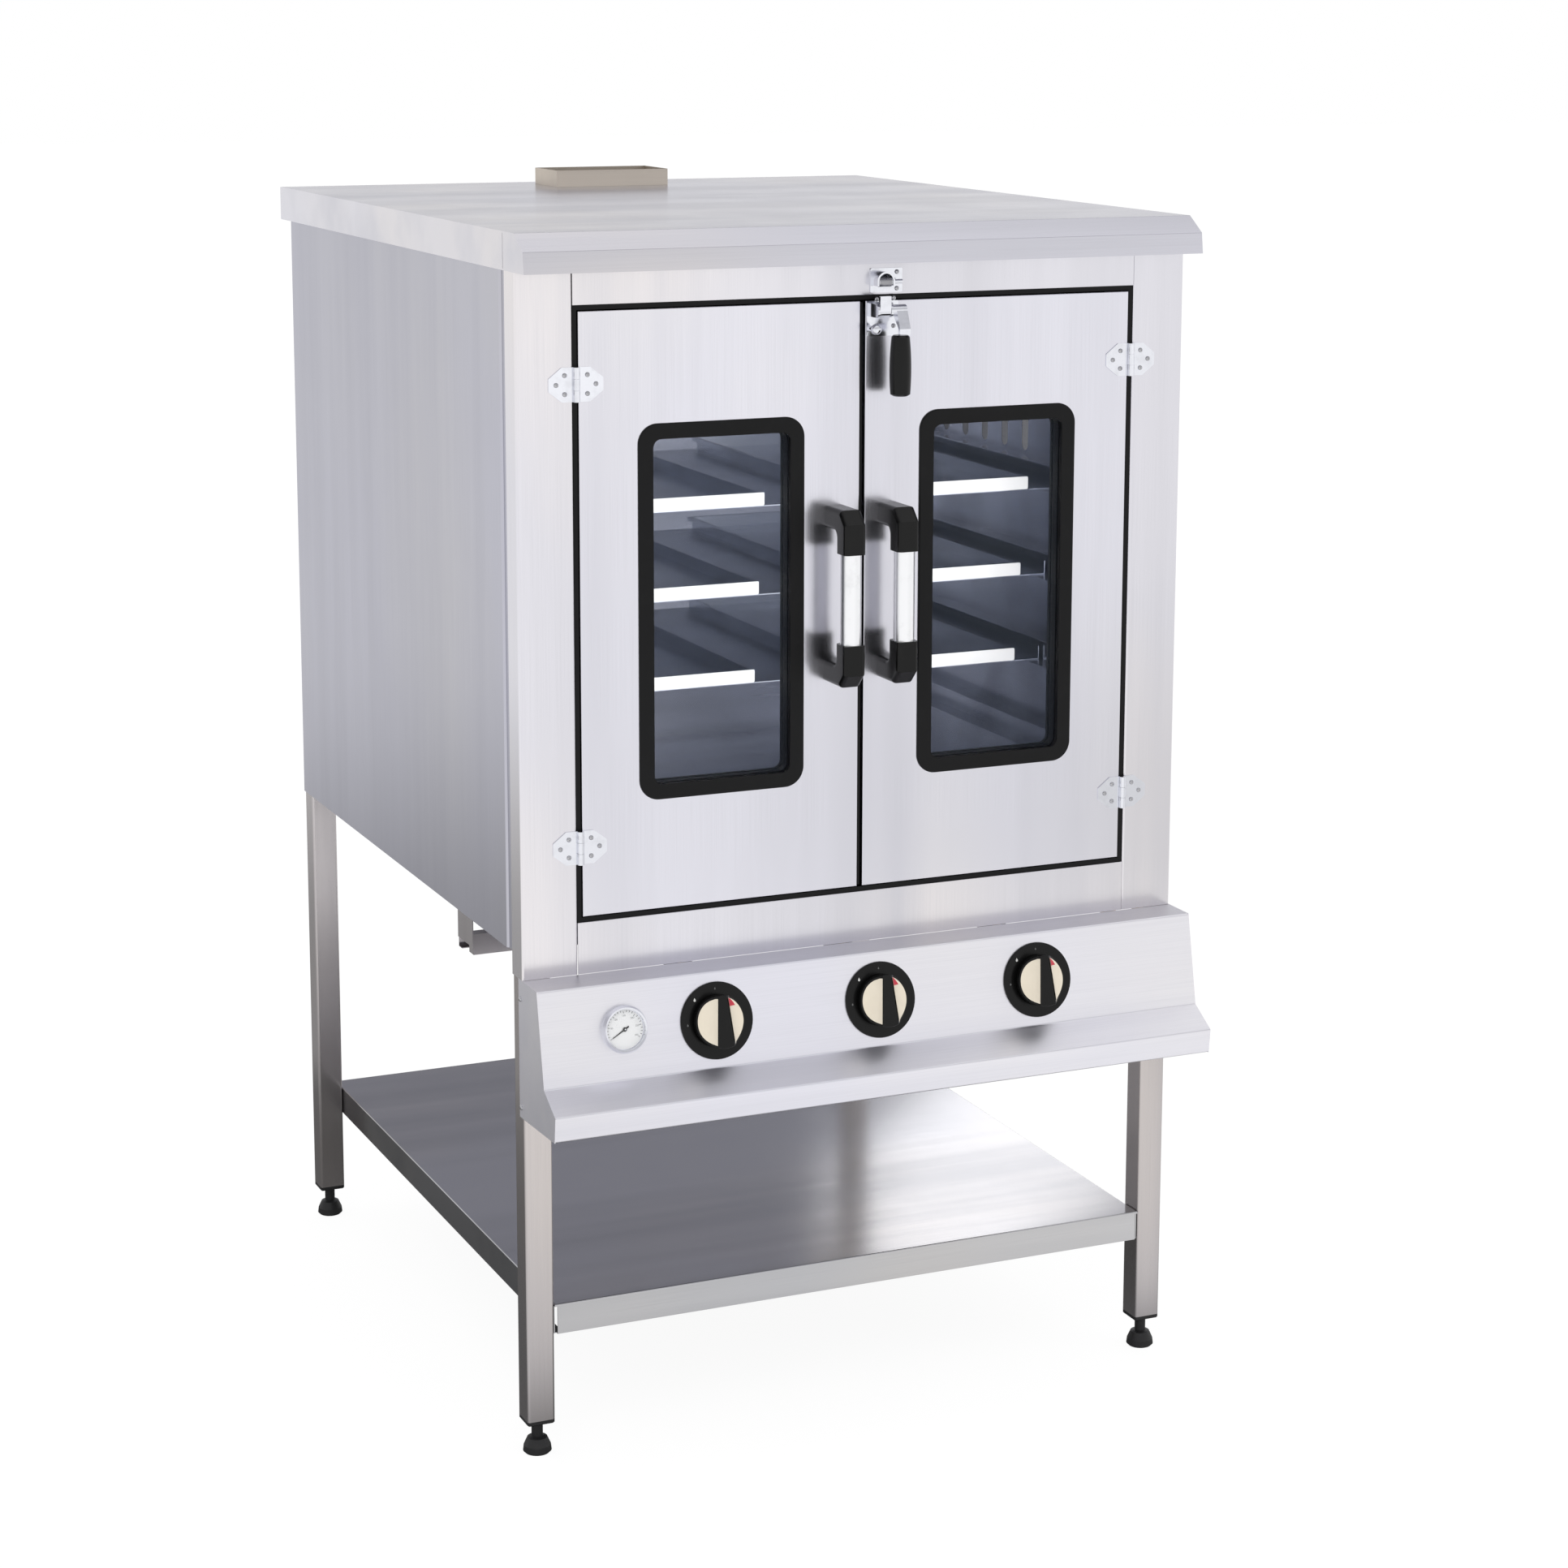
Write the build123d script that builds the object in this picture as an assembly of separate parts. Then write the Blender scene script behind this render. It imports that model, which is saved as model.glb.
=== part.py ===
from build123d import *
from math import atan2, cos, hypot, sin
import os

# Free-standing gas pastry oven with two glazed doors, on a tube stand.
# Millimetres, +Z up. The origin is on the floor under the middle of the oven, and the front faces -Y.

# Body and stand
BODY_WIDTH = 1000
BODY_DEPTH = 1070
BODY_BOTTOM = 717
SHEET = 1.2
BEND = 2
LEG = 40
LEG_WALL = 2
LEG_BOTTOM = 52
FIT = 0.3

# Lid and flue
LINTEL_HEIGHT = 46
LID_SKIRT = 51
LID_SIDE_OVERHANG = 3
LID_REAR_OVERHANG = 48
LID_NOSE_REACH = 48
LID_NOSE_CREASE = 44
LID_NOSE_TOP = 10
LID_NOSE_DROP = 22
LID_HEM = 12
END_CAP_SEAM = 35
FLUE_WIDTH = 190
FLUE_DEPTH = 102
FLUE_RISE = 26
FLUE_LENGTH = 260
FLUE_REAR_GAP = 8.8
FLUE_INLET_WIDTH = 152
FLUE_INLET_RISE = 20
FLUE_INLET_HEIGHT = 70

# Front frame and door opening
STILE_WIDTH = 80
SILL_HEIGHT = 41
OPENING_HEIGHT = 836
STRIP_WIDTH = 40
JOGGLE_WIDTH = 18
JOGGLE_DEPTH = 3
JOGGLE_BEND = 0.3
PANEL_RETURN = 14

# Doors
DOOR_THICKNESS = 31
DOOR_GAP = 8
DOOR_SHEET = 1.2
SEAL_THICKNESS = 4
SEAL_CLEARANCE = 1.5
SEAL_SETBACK = 2
CENTRE_SEAL = 4.5
WINDOW_HEIGHT = 472
WINDOW_WIDTH = 200
WINDOW_CORNER = 12
GASKET_FRAME = 21
GASKET_PROUD = 3
GASKET_NECK = 11
GLASS_THICKNESS = 4
GLASS_BITE = 6

# Door handles
HANDLE_FROM_MIDDLE = 40
HANDLE_ABOVE_MIDDLE = 9.5
HANDLE_HEIGHT = 245
HANDLE_STANDOFF = 53
HANDLE_TUBE = 29
HANDLE_TUBE_WALL = 1.5
HANDLE_END_WIDTH = 32
HANDLE_END_HEIGHT = 60
HANDLE_END_ARM = 30
HANDLE_END_CHAMFER = 18
HANDLE_SOCKET = 14

# Butterfly hinges
HINGE_FROM_BOTTOM = 97
HINGE_FROM_TOP = 96
HINGE_LEAF_WIDTH = 38.5
HINGE_LEAF_HEIGHT = 46
HINGE_LEAF_TIP = 17
HINGE_LEAF_SHOULDER = 20
HINGE_LEAF_THICKNESS = 1.5
HINGE_KNUCKLE = 9
HINGE_KNUCKLE_GAP = 0.3
HINGE_PIN = 4
PIN_CLEARANCE = 0.05
HINGE_HOLE = 5
HINGE_INNER_HOLE = (16, 12.5)
HINGE_OUTER_HOLE = (28, 0)

# Lever latch
LATCH_BASE = (5, 52)
LATCH_BASE_HEIGHT = 48
LATCH_PLATE = 2
LATCH_EARS = (8, 28)
LATCH_EAR = 3
LATCH_EAR_RADIUS = 9
LATCH_PIVOT_DROP = 20
LATCH_PIVOT_REACH = 24
LATCH_PIN = 6
LEVER_BOSS = 8
LEVER_HUB = 12
LEVER_WIDTH = 16
LEVER_THICKNESS = 5
LEVER_REACH = 16
LEVER_DROP = 32
SHANK_WIDTH = 12
SHANK_LENGTH = 27
CLAW_LENGTH = 20
BALL_DIAMETER = 15
BALL_SPOT = (10.5, 37)
GRIP_X = 38
GRIP_DIAMETER = 30
GRIP_TAPER = 2.5
GRIP_LENGTH = 83
KEEPER_X = (10, 58)
KEEPER_HEIGHT = 33
KEEPER_GAP = 3
KEEPER_HOOD = 13
KEEPER_HOOD_X = 25.5
KEEPER_HOOD_REACH = 20
KEEPER_HOOD_SHEET = 2.5
ROLLER_DIAMETER = 13
ROLLER_LENGTH = 20

# Baking chamber
REBATE = 20
LINER_SHEET = 1
RUNNER_DEPTH = 28
RUNNER_HEIGHT = 40
RUNNER_LEVELS = 4
RUNNER_PITCH = 131
LOWEST_RUNNER_RISE = 111
VENT_SLOTS = 6
VENT_SLOT = (20, 60)
VENT_PITCH = 66
VENT_SETBACK = 250
VENT_RISE = 4

# Trays: how far each level stands behind the chamber's mouth, in the photographed pose
TRAY_SETBACKS = {"tray_bottom": 185, "tray_middle": 170, "tray_top": 150}
TRAY_DEPTH = 600
TRAY_HEIGHT = 20
TRAY_RIM = 6
TRAY_FROM_MIDDLE = 66
TRAY_FROM_WALL = 46
CARRIER_CLEARANCE = 4

# Gas train
KNOB_SPACING = 246
KNOB_DROP = 66
BURNER_DIAMETER = 40
BURNER_WALL = 2
BURNER_START = 64
BURNER_END_GAP = 170
BURNER_PORTS = 12
BURNER_PORTS_START = 150
BURNER_PORTS_END = 50
BURNER_PORT = (14, 3)
TROUGH_FRONT = 362
TROUGH_REAR = 430
TROUGH_INSET = 50
TROUGH_DROP = 96
TROUGH_FRONT_HEIGHT = 31
TROUGH_FRONT_DEPTH = 20
TROUGH_END_RISE = 11
TROUGH_REAR_ANGLE = 15
TROUGH_REAR_DROP = 4
BURNER_SLOT_MARGIN = 84
BURNER_SLOT_FRONT = 110
BURNER_SLOT_REAR_GAP = 190
BURNER_SLOT_UPSTAND = 10
BURNER_HANGER = 28
BURNER_HANGER_GAP = 10
PIPE = 21.3
PIPE_INSET = 70
PIPE_DROP = 23
PIPE_BEND_REACH = 100
PIPE_STUB = 35
PIPE_THREAD = 20.9
PIPE_THREAD_LENGTH = 19
FEED_PIPE = 10
VALVE_BODY = 26
VALVE_LENGTH = 46
VALVE_SEAM_TURN = 37

# Control panel: how far each fold stands in front of the body, and its height
CONSOLE_DROP = 31
CONSOLE_REACH = 127
CONSOLE_SHELF = 57
CONSOLE_FACE_REACH = 83
CONSOLE_FACE_HEIGHT = 129
CONSOLE_BEVEL_HEIGHT = 26
CONSOLE_LIP_REACH = 123
CONSOLE_LIP_HEIGHT = 35
CONSOLE_UNDERSIDE_FALL = 5
CONSOLE_FLANGE = 28
CHEEK_FLANGE = 16

# Knobs and thermometer
BEZEL_DIAMETER = 106
BEZEL_THICKNESS = 3
KNOB_DIAMETER = 72
KNOB_GAP = 5
KNOB_RIM = 7
KNOB_RIDGE = 22
KNOB_RIDGE_WIDTH = 14
KNOB_RIDGE_TAPER = 5
KNOB_SCOOP = 26
KNOB_TRAVEL = 4
SPINDLE = 8
SPINDLE_HOLE = 12
THERMOMETER_FROM_KNOB = 135
THERMOMETER_DROP = 62
THERMOMETER_DIAMETER = 65
THERMOMETER_PROUD = 12
THERMOMETER_RIM = 5
THERMOMETER_CAN = 24
THERMOMETER_CAN_BEVEL = 2
DIAL_RISE = 4.2
NEEDLE_POST = 2
NEEDLE_POST_RISE = 7.2
LENS_RISE = 9
LENS_THICKNESS = 1.5
NEEDLE_THICKNESS = 0.8
NEEDLE_LENGTH = 21
NEEDLE_ROOT = 2.2
NEEDLE_TIP = 0.7
NEEDLE_BOSS = 6
NEEDLE_TAIL = (6, 2)
NEEDLE_ANGLE = 210

# Undershelf
SHELF_TOP = 219
SHELF_LIP = 43
SHELF_HEM = 12
CORNER_RELIEF = 4
STIFFENER = (60, 25)

# Levelling feet
FOOT_DIAMETER = 40
FOOT_HEIGHT = 22
FOOT_EDGE = 3
FOOT_NECK = 16
FOOT_STEM = 10
SOCKET_FLANGE = 6
SOCKET_PLUG = 24

# Places worked out from the sizes above
FRONT = (CONSOLE_REACH - BODY_DEPTH - LID_REAR_OVERHANG) / 2
REAR = FRONT + BODY_DEPTH
SIDE = BODY_WIDTH / 2
POST = SHEET + LEG
OPENING_SIDE = SIDE - STILE_WIDTH
OPENING_BOTTOM = BODY_BOTTOM + SILL_HEIGHT
OPENING_TOP = OPENING_BOTTOM + OPENING_HEIGHT
LID_BOTTOM = OPENING_TOP + LINTEL_HEIGHT
LID_TOP = LID_BOTTOM + LID_SKIRT
CHAMBER_SIDE = OPENING_SIDE - REBATE
CHAMBER_BOTTOM = OPENING_BOTTOM + REBATE
CHAMBER_TOP = OPENING_TOP - REBATE
CHAMBER_FRONT = FRONT + DOOR_THICKNESS + SEAL_THICKNESS
FLUE_REAR = REAR - SHEET - FLUE_REAR_GAP
FLUE_FRONT = FLUE_REAR - FLUE_DEPTH
FLUE_BOTTOM = LID_TOP + FLUE_RISE - FLUE_LENGTH
CHAMBER_BACK = FLUE_FRONT - LINER_SHEET
LOWEST_RUNNER = CHAMBER_BOTTOM + LOWEST_RUNNER_RISE
DOOR_INNER = DOOR_GAP / 2
DOOR_OUTER = OPENING_SIDE - DOOR_GAP
DOOR_BOTTOM = OPENING_BOTTOM + DOOR_GAP
DOOR_TOP = OPENING_TOP - DOOR_GAP
DOOR_CENTRE = (DOOR_INNER + DOOR_OUTER) / 2
DOOR_MIDDLE_Z = (DOOR_BOTTOM + DOOR_TOP) / 2
DOOR_BACK = FRONT + DOOR_THICKNESS
HANDLE_CENTRE_Z = DOOR_MIDDLE_Z + HANDLE_ABOVE_MIDDLE
HINGE_X = OPENING_SIDE - DOOR_GAP / 2
HINGE_Y = FRONT - HINGE_KNUCKLE / 2
HINGE_HEIGHTS = (DOOR_BOTTOM + HINGE_FROM_BOTTOM, DOOR_TOP - HINGE_FROM_TOP)
LATCH_PIVOT_Y = FRONT - LATCH_PIVOT_REACH
LATCH_PIVOT_Z = OPENING_TOP - LATCH_PIVOT_DROP
LEVER_X = LATCH_EARS[1] + LATCH_EAR + LEVER_THICKNESS
GRIP_Y = LATCH_PIVOT_Y - LEVER_REACH
GRIP_TOP = LATCH_PIVOT_Z - LEVER_DROP
KEEPER_BOTTOM = OPENING_TOP + KEEPER_GAP
KEEPER_HOOD_Z = KEEPER_BOTTOM + KEEPER_HEIGHT / 2
CONSOLE_TOP = BODY_BOTTOM - CONSOLE_DROP
CONSOLE_FACE_FOOT = CONSOLE_TOP - CONSOLE_FACE_HEIGHT
CONSOLE_BEVEL = CONSOLE_FACE_FOOT - CONSOLE_BEVEL_HEIGHT
CONSOLE_LIP = CONSOLE_BEVEL - CONSOLE_LIP_HEIGHT
CONSOLE_BOTTOM = CONSOLE_LIP - CONSOLE_UNDERSIDE_FALL
KNOB_POSITIONS = {"left": -KNOB_SPACING, "middle": 0, "right": KNOB_SPACING}
KNOB_HEIGHT = CONSOLE_TOP - KNOB_DROP
KNOB_BASE = BEZEL_THICKNESS + KNOB_GAP
KNOB_TOP = KNOB_BASE + KNOB_RIDGE
SPINDLE_TOP = KNOB_BASE + KNOB_RIDGE / 2
THERMOMETER_X = -KNOB_SPACING - THERMOMETER_FROM_KNOB
THERMOMETER_Z = CONSOLE_TOP - THERMOMETER_DROP
VALVE_BORE = VALVE_LENGTH / 2
PIPE_DEPTH = VALVE_LENGTH - PIPE / 2
PIPE_X = SIDE - PIPE_INSET
PIPE_Z = BODY_BOTTOM - PIPE_DROP
TROUGH_END = SIDE - TROUGH_INSET
TROUGH_BOTTOM = BODY_BOTTOM - TROUGH_DROP
BURNER_END = BODY_DEPTH - BURNER_END_GAP
BURNER_SLOT_SIDE = KNOB_SPACING + BURNER_SLOT_MARGIN
BURNER_SLOT_REAR = BODY_DEPTH - BURNER_SLOT_REAR_GAP
TOP_RUNNER = LOWEST_RUNNER + (RUNNER_LEVELS - 1) * RUNNER_PITCH
CORNERS = {"front_left": (-1, -1), "front_right": (1, -1), "rear_left": (-1, 1), "rear_right": (1, 1)}

os.makedirs("parts", exist_ok=True)


# Helpers

def save(name, *solids):
    """Write one node, made of one or more separate solids."""
    shape = solids[0] if len(solids) == 1 else Compound(children=list(solids))
    export_step(shape, f"parts/{name}.step")


def block(x, y, z):
    """Box between a low and a high value of X, Y and Z."""
    spans = [sorted(pair) for pair in (x, y, z)]
    centre = [(low + high) / 2 for low, high in spans]
    return Pos(*centre) * Box(*[high - low for low, high in spans])


def slab(width, height, corner, x, z, y):
    """Plate that faces the front, with round corners, centred on x and z, between two values of y."""
    plane = Plane(origin=(x, max(y), z), x_dir=(1, 0, 0), z_dir=(0, -1, 0))
    return extrude(plane * RectangleRounded(width, height, corner), amount=max(y) - min(y))


def pan(x, y, z, open_face, sheet):
    """Hollow sheet box, open on one face: a pair of an axis number and a side, 0 low or 1 high."""
    inner = [[min(pair) + sheet, max(pair) - sheet] for pair in (x, y, z)]
    axis, end = open_face
    inner[axis][end] += sheet * (2 if end else -2)
    return block(x, y, z) - block(*inner)


def folded(points, sheet, bend, plane, length, side=Side.LEFT):
    """Bent sheet: an outer line with round bends, thickened to one side and extruded."""
    path = FilletPolyline(*points, radius=bend + sheet)
    face = make_face(offset(path, amount=sheet, side=side))
    return extrude(plane * face, amount=length)


def both_sides(shape):
    """A right-hand piece and its mirror image on the left."""
    return [shape, mirror(shape, about=Plane.YZ)]


def upright(radius, height):
    """Cylinder that stands on its own plane."""
    return Cylinder(radius, height, align=(Align.CENTER, Align.CENTER, Align.MIN))


def rod(diameter, start, end):
    """Round bar between two points."""
    axis = Vector(*end) - Vector(*start)
    return extrude(Plane(origin=start, z_dir=axis) * Circle(diameter / 2), amount=axis.length)


def console_plane(x, z):
    """Plane on the console's sloping main face, with its normal towards the user and its Y up the slope."""
    slope_y = CONSOLE_FACE_REACH - CONSOLE_SHELF
    slope_z = CONSOLE_FACE_HEIGHT
    reach = CONSOLE_SHELF + slope_y * (CONSOLE_TOP - z) / slope_z
    length = hypot(slope_y, slope_z)
    normal = (0, -slope_z / length, slope_y / length)
    return Plane(origin=(x, FRONT - reach, z), x_dir=(1, 0, 0), z_dir=normal)


# Stand: legs, sockets, feet and undershelf

def leg_centre(corner):
    """X and Y of a leg's centre line."""
    side, end = CORNERS[corner]
    inset = SHEET + LEG / 2
    return side * (SIDE - inset), (FRONT + inset) if end < 0 else (REAR - inset)


def leg(corner):
    """Square tube from its socket up to the lid."""
    x, y = leg_centre(corner)
    outline = RectangleRounded(LEG, LEG, 2 * LEG_WALL)
    outline -= RectangleRounded(LEG - 2 * LEG_WALL, LEG - 2 * LEG_WALL, LEG_WALL)
    return extrude(Pos(x, y, LEG_BOTTOM) * outline, amount=LID_TOP - SHEET - LEG_BOTTOM)


def leg_socket(corner):
    """Plastic plug in the end of a leg, bored for the foot's stem."""
    x, y = leg_centre(corner)
    plug = LEG - 2 * LEG_WALL - 2 * PIN_CLEARANCE
    flange = extrude(RectangleRounded(LEG, LEG, 2 * LEG_WALL), amount=-SOCKET_FLANGE)
    flange = chamfer(flange.faces().sort_by(Axis.Z)[0].edges(), SOCKET_FLANGE / 4)
    body = flange + extrude(RectangleRounded(plug, plug, LEG_WALL), amount=SOCKET_PLUG)
    bore = Pos(0, 0, -SOCKET_FLANGE) * upright(FOOT_STEM / 2 + PIN_CLEARANCE, SOCKET_FLANGE + SOCKET_PLUG)
    return Pos(x, y, LEG_BOTTOM) * (body - bore)


def levelling_foot(corner):
    """Bulb foot with a neck and a stem that runs up into the socket."""
    x, y = leg_centre(corner)
    radius = FOOT_DIAMETER / 2
    stem, neck = FOOT_STEM / 2, FOOT_NECK / 2
    seat = LEG_BOTTOM - SOCKET_FLANGE - FIT
    shoulder = (radius + neck) / 2
    outline = Polyline(
        (0, 0), (radius - FOOT_EDGE, 0), (radius, FOOT_EDGE), (radius - 1, FOOT_HEIGHT / 2),
        (shoulder, FOOT_HEIGHT), (neck, FOOT_HEIGHT + 2), (neck, seat), (stem, seat),
        (stem, LEG_BOTTOM + SOCKET_PLUG), (0, LEG_BOTTOM + SOCKET_PLUG), (0, 0))
    foot = revolve(Plane.XZ * make_face(outline), Axis.Z)
    return Pos(x, y, 0) * foot


def undershelf():
    """Folded shelf between the legs, hemmed all round, with its two stiffeners."""
    side = SIDE - POST - FIT
    x, y, z = (-side, side), (FRONT, REAR), (SHELF_TOP - SHELF_LIP, SHELF_TOP)
    shelf = pan(x, y, z, (2, 0), SHEET)
    shelf = fillet(shelf.faces().sort_by(Axis.Z)[-1].edges(), BEND)
    hem = block(x, y, (z[0], z[0] + SHEET)) - block(
        (x[0] + SHELF_HEM, x[1] - SHELF_HEM), (y[0] + SHELF_HEM, y[1] - SHELF_HEM), (z[0] - 1, z[1]))
    shelf += hem
    for side_x in x:
        for side_y in y:
            shelf -= Pos(side_x, side_y, z[0]) * Box(
                2 * CORNER_RELIEF, 2 * CORNER_RELIEF, 2 * (SHELF_LIP - SHEET - BEND))
    width, depth = STIFFENER
    top = SHELF_TOP - SHEET
    stiffeners = []
    for place in (FRONT + BODY_DEPTH / 3, FRONT + 2 * BODY_DEPTH / 3):
        span = (place - width / 2, place + width / 2)
        reach = (-side + SHEET + FIT, side - SHEET - FIT)
        channel = block(reach, span, (top - depth, top))
        channel -= block(
            (reach[0] - 1, reach[1] + 1), (span[0] + SHEET, span[1] - SHEET), (top - depth + SHEET, top + 1))
        stiffeners.append(channel)
    return [shelf, *stiffeners]


# Outer casing

def side_panel():
    """Right-hand side sheet, joggled behind the front strip and turned in at its front and bottom."""
    joggle_rear = FRONT + STRIP_WIDTH + SHEET + FIT + JOGGLE_WIDTH
    joggle_front = FRONT + POST + SHEET
    points = (
        (SIDE, REAR),
        (SIDE, joggle_rear + JOGGLE_DEPTH),
        (SIDE - JOGGLE_DEPTH, joggle_rear),
        (SIDE - JOGGLE_DEPTH, joggle_front - SHEET),
        (SIDE - JOGGLE_DEPTH - PANEL_RETURN, joggle_front - SHEET),
    )
    panel = folded(
        points, SHEET, JOGGLE_BEND, Plane.XY.offset(BODY_BOTTOM), LID_TOP - SHEET - BODY_BOTTOM, Side.RIGHT)
    hem = block(
        (SIDE - SHEET - PANEL_RETURN, SIDE - SHEET), (joggle_rear + JOGGLE_DEPTH, REAR - POST - FIT),
        (BODY_BOTTOM, BODY_BOTTOM + SHEET))
    return panel + hem


def rear_panel():
    """Flat back sheet between the side sheets."""
    side = SIDE - SHEET - FIT
    return block((-side, side), (REAR - SHEET, REAR), (BODY_BOTTOM, LID_TOP - SHEET))


def base_panel():
    """Bottom sheet, notched round the rear legs, with a slot and its upstand over the burners."""
    side = SIDE - JOGGLE_DEPTH - PANEL_RETURN - FIT
    bottom = (BODY_BOTTOM, BODY_BOTTOM + SHEET)
    front = CHAMBER_FRONT + LINER_SHEET + FIT
    sheet = block((-side, side), (front, REAR - SHEET - FIT), bottom)
    slot_x = (-BURNER_SLOT_SIDE, BURNER_SLOT_SIDE)
    slot_y = (FRONT + BURNER_SLOT_FRONT, FRONT + BURNER_SLOT_REAR)
    sheet += block(slot_x, slot_y, (BODY_BOTTOM, BODY_BOTTOM + BURNER_SLOT_UPSTAND))
    sheet -= block(
        (slot_x[0] + SHEET, slot_x[1] - SHEET), (slot_y[0] + SHEET, slot_y[1] - SHEET),
        (BODY_BOTTOM - SHEET, BODY_BOTTOM + 2 * BURNER_SLOT_UPSTAND))
    for corner in CORNERS:
        x, y = leg_centre(corner)
        sheet -= Pos(x, y, BODY_BOTTOM) * Box(LEG + 2 * FIT, LEG + 2 * FIT, 4 * SHEET)
    return sheet


def front_stile():
    """Right-hand front strip: side return, face and inner return at the door opening, in one fold."""
    points = (
        (SIDE, FRONT + STRIP_WIDTH), (SIDE, FRONT), (OPENING_SIDE, FRONT),
        (OPENING_SIDE, CHAMBER_FRONT + LINER_SHEET))
    height = LID_TOP - SHEET - CONSOLE_TOP
    return folded(points, SHEET, BEND, Plane.XY.offset(CONSOLE_TOP), height, Side.RIGHT)


def front_rails():
    """Lintel and sill between the stiles, each turned in at the door opening."""
    side = OPENING_SIDE - FIT
    rails = []
    for edge, far in ((OPENING_TOP, LID_TOP - SHEET), (OPENING_BOTTOM, CONSOLE_TOP)):
        away = 1 if far > edge else -1
        face = block((-side, side), (FRONT, FRONT + SHEET), (edge, far))
        lip = block((-side, side), (FRONT, CHAMBER_FRONT - FIT), (edge, edge + away * SHEET))
        rail = face + lip
        corner = rail.edges().filter_by(Axis.X).sort_by_distance((0, FRONT, edge))[0]
        rails.append(fillet(corner, SHEET * 0.9))
    return rails


def lid_outline(inset):
    """Lid's section seen from the side, inside its outer line by an inset."""
    crease_z = LID_TOP - LID_NOSE_DROP
    slope = atan2(LID_NOSE_DROP, LID_NOSE_CREASE - LID_NOSE_TOP)
    nose_top = FRONT - LID_NOSE_TOP + inset * (1 - cos(slope)) / sin(slope)
    crease = (FRONT - LID_NOSE_CREASE + inset, crease_z - inset * 0.5)
    rear = REAR + LID_REAR_OVERHANG - inset
    foot = LID_BOTTOM - inset
    return Polyline(
        (rear, foot), (rear, LID_TOP - inset), (nose_top, LID_TOP - inset), crease,
        (FRONT - LID_NOSE_REACH + inset, foot), (rear, foot))


def top_lid():
    """Folded lid with skirts at the sides and back, a sloping nose with end caps, and a hole for the flue."""
    side = SIDE + LID_SIDE_OVERHANG
    shell = extrude(Plane.YZ.offset(-side) * make_face(lid_outline(0)), amount=2 * side)
    fold_edges = shell.edges().filter_by(Axis.X).filter_by(lambda edge: edge.center().Z > LID_BOTTOM + 1)
    shell = fillet(fold_edges, BEND)
    inner = extrude(Plane.YZ.offset(SHEET - side) * make_face(lid_outline(SHEET)), amount=2 * (side - SHEET))
    shell -= inner
    hem = block(
        (-side + SHEET, side - SHEET), (FRONT - LID_NOSE_REACH + SHEET / 2, FRONT - LID_NOSE_REACH + LID_HEM),
        (LID_BOTTOM, LID_BOTTOM + SHEET))
    shell += hem
    seam = FRONT + END_CAP_SEAM
    for face_x in (-side, side):
        shell -= Pos(face_x, seam, (LID_TOP + LID_BOTTOM) / 2) * Box(SHEET, SHEET, LID_SKIRT - 4 * SHEET)
    gap = 2 * FIT
    half = FLUE_WIDTH / 2 + gap
    return shell - block((-half, half), (FLUE_FRONT - gap, FLUE_REAR + gap), (LID_BOTTOM, LID_TOP + 1))


def flue_collar():
    """Rectangular duct, closed at its foot, open to the chamber and above the lid."""
    x = (-FLUE_WIDTH / 2, FLUE_WIDTH / 2)
    duct = pan(x, (FLUE_FRONT, FLUE_REAR), (FLUE_BOTTOM, LID_TOP + FLUE_RISE), (2, 1), SHEET)
    return duct - flue_inlet()


def flue_inlet():
    """Cut for the hot air, through the chamber's back and the duct's front wall."""
    z = FLUE_BOTTOM + FLUE_INLET_RISE
    y = (CHAMBER_BACK - SHEET, FLUE_FRONT + 2 * SHEET)
    return block((-FLUE_INLET_WIDTH / 2, FLUE_INLET_WIDTH / 2), y, (z, z + FLUE_INLET_HEIGHT))


def vent_slots():
    """Row of upright slots through the right-hand chamber wall, above the top runner."""
    width, height = VENT_SLOT
    z = TOP_RUNNER + RUNNER_HEIGHT + VENT_RISE + height / 2
    slot = extrude(Plane.YZ * Rot(0, 0, 90) * SlotOverall(height, width), amount=2 * SHEET, both=True)
    return [
        Pos(CHAMBER_SIDE, CHAMBER_FRONT + VENT_SETBACK + number * VENT_PITCH, z) * slot
        for number in range(VENT_SLOTS)]


# Baking chamber

def chamber_liner():
    """Two walls, roof, floor and back of the chamber, with a flange round its mouth."""
    depth = (CHAMBER_FRONT, CHAMBER_BACK)
    sheet = LINER_SHEET
    mouth = (CHAMBER_FRONT, CHAMBER_FRONT + sheet)
    wall = block((CHAMBER_SIDE, CHAMBER_SIDE + sheet), depth, (CHAMBER_BOTTOM - sheet, CHAMBER_TOP + sheet))
    wall += block((CHAMBER_SIDE, OPENING_SIDE), mouth, (OPENING_BOTTOM, OPENING_TOP))
    span = (-CHAMBER_SIDE, CHAMBER_SIDE)
    roof = block(span, depth, (CHAMBER_TOP, CHAMBER_TOP + sheet))
    roof += block(span, mouth, (CHAMBER_TOP, OPENING_TOP))
    floor = block(span, depth, (CHAMBER_BOTTOM - sheet, CHAMBER_BOTTOM))
    floor += block(span, mouth, (OPENING_BOTTOM, CHAMBER_BOTTOM))
    back_side = CHAMBER_SIDE + sheet
    back = block(
        (-back_side, back_side), (CHAMBER_BACK, FLUE_FRONT), (CHAMBER_BOTTOM - sheet, CHAMBER_TOP + sheet))
    for slot in vent_slots():
        wall -= slot
    return [*both_sides(wall), roof, floor, back - flue_inlet()]


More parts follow.
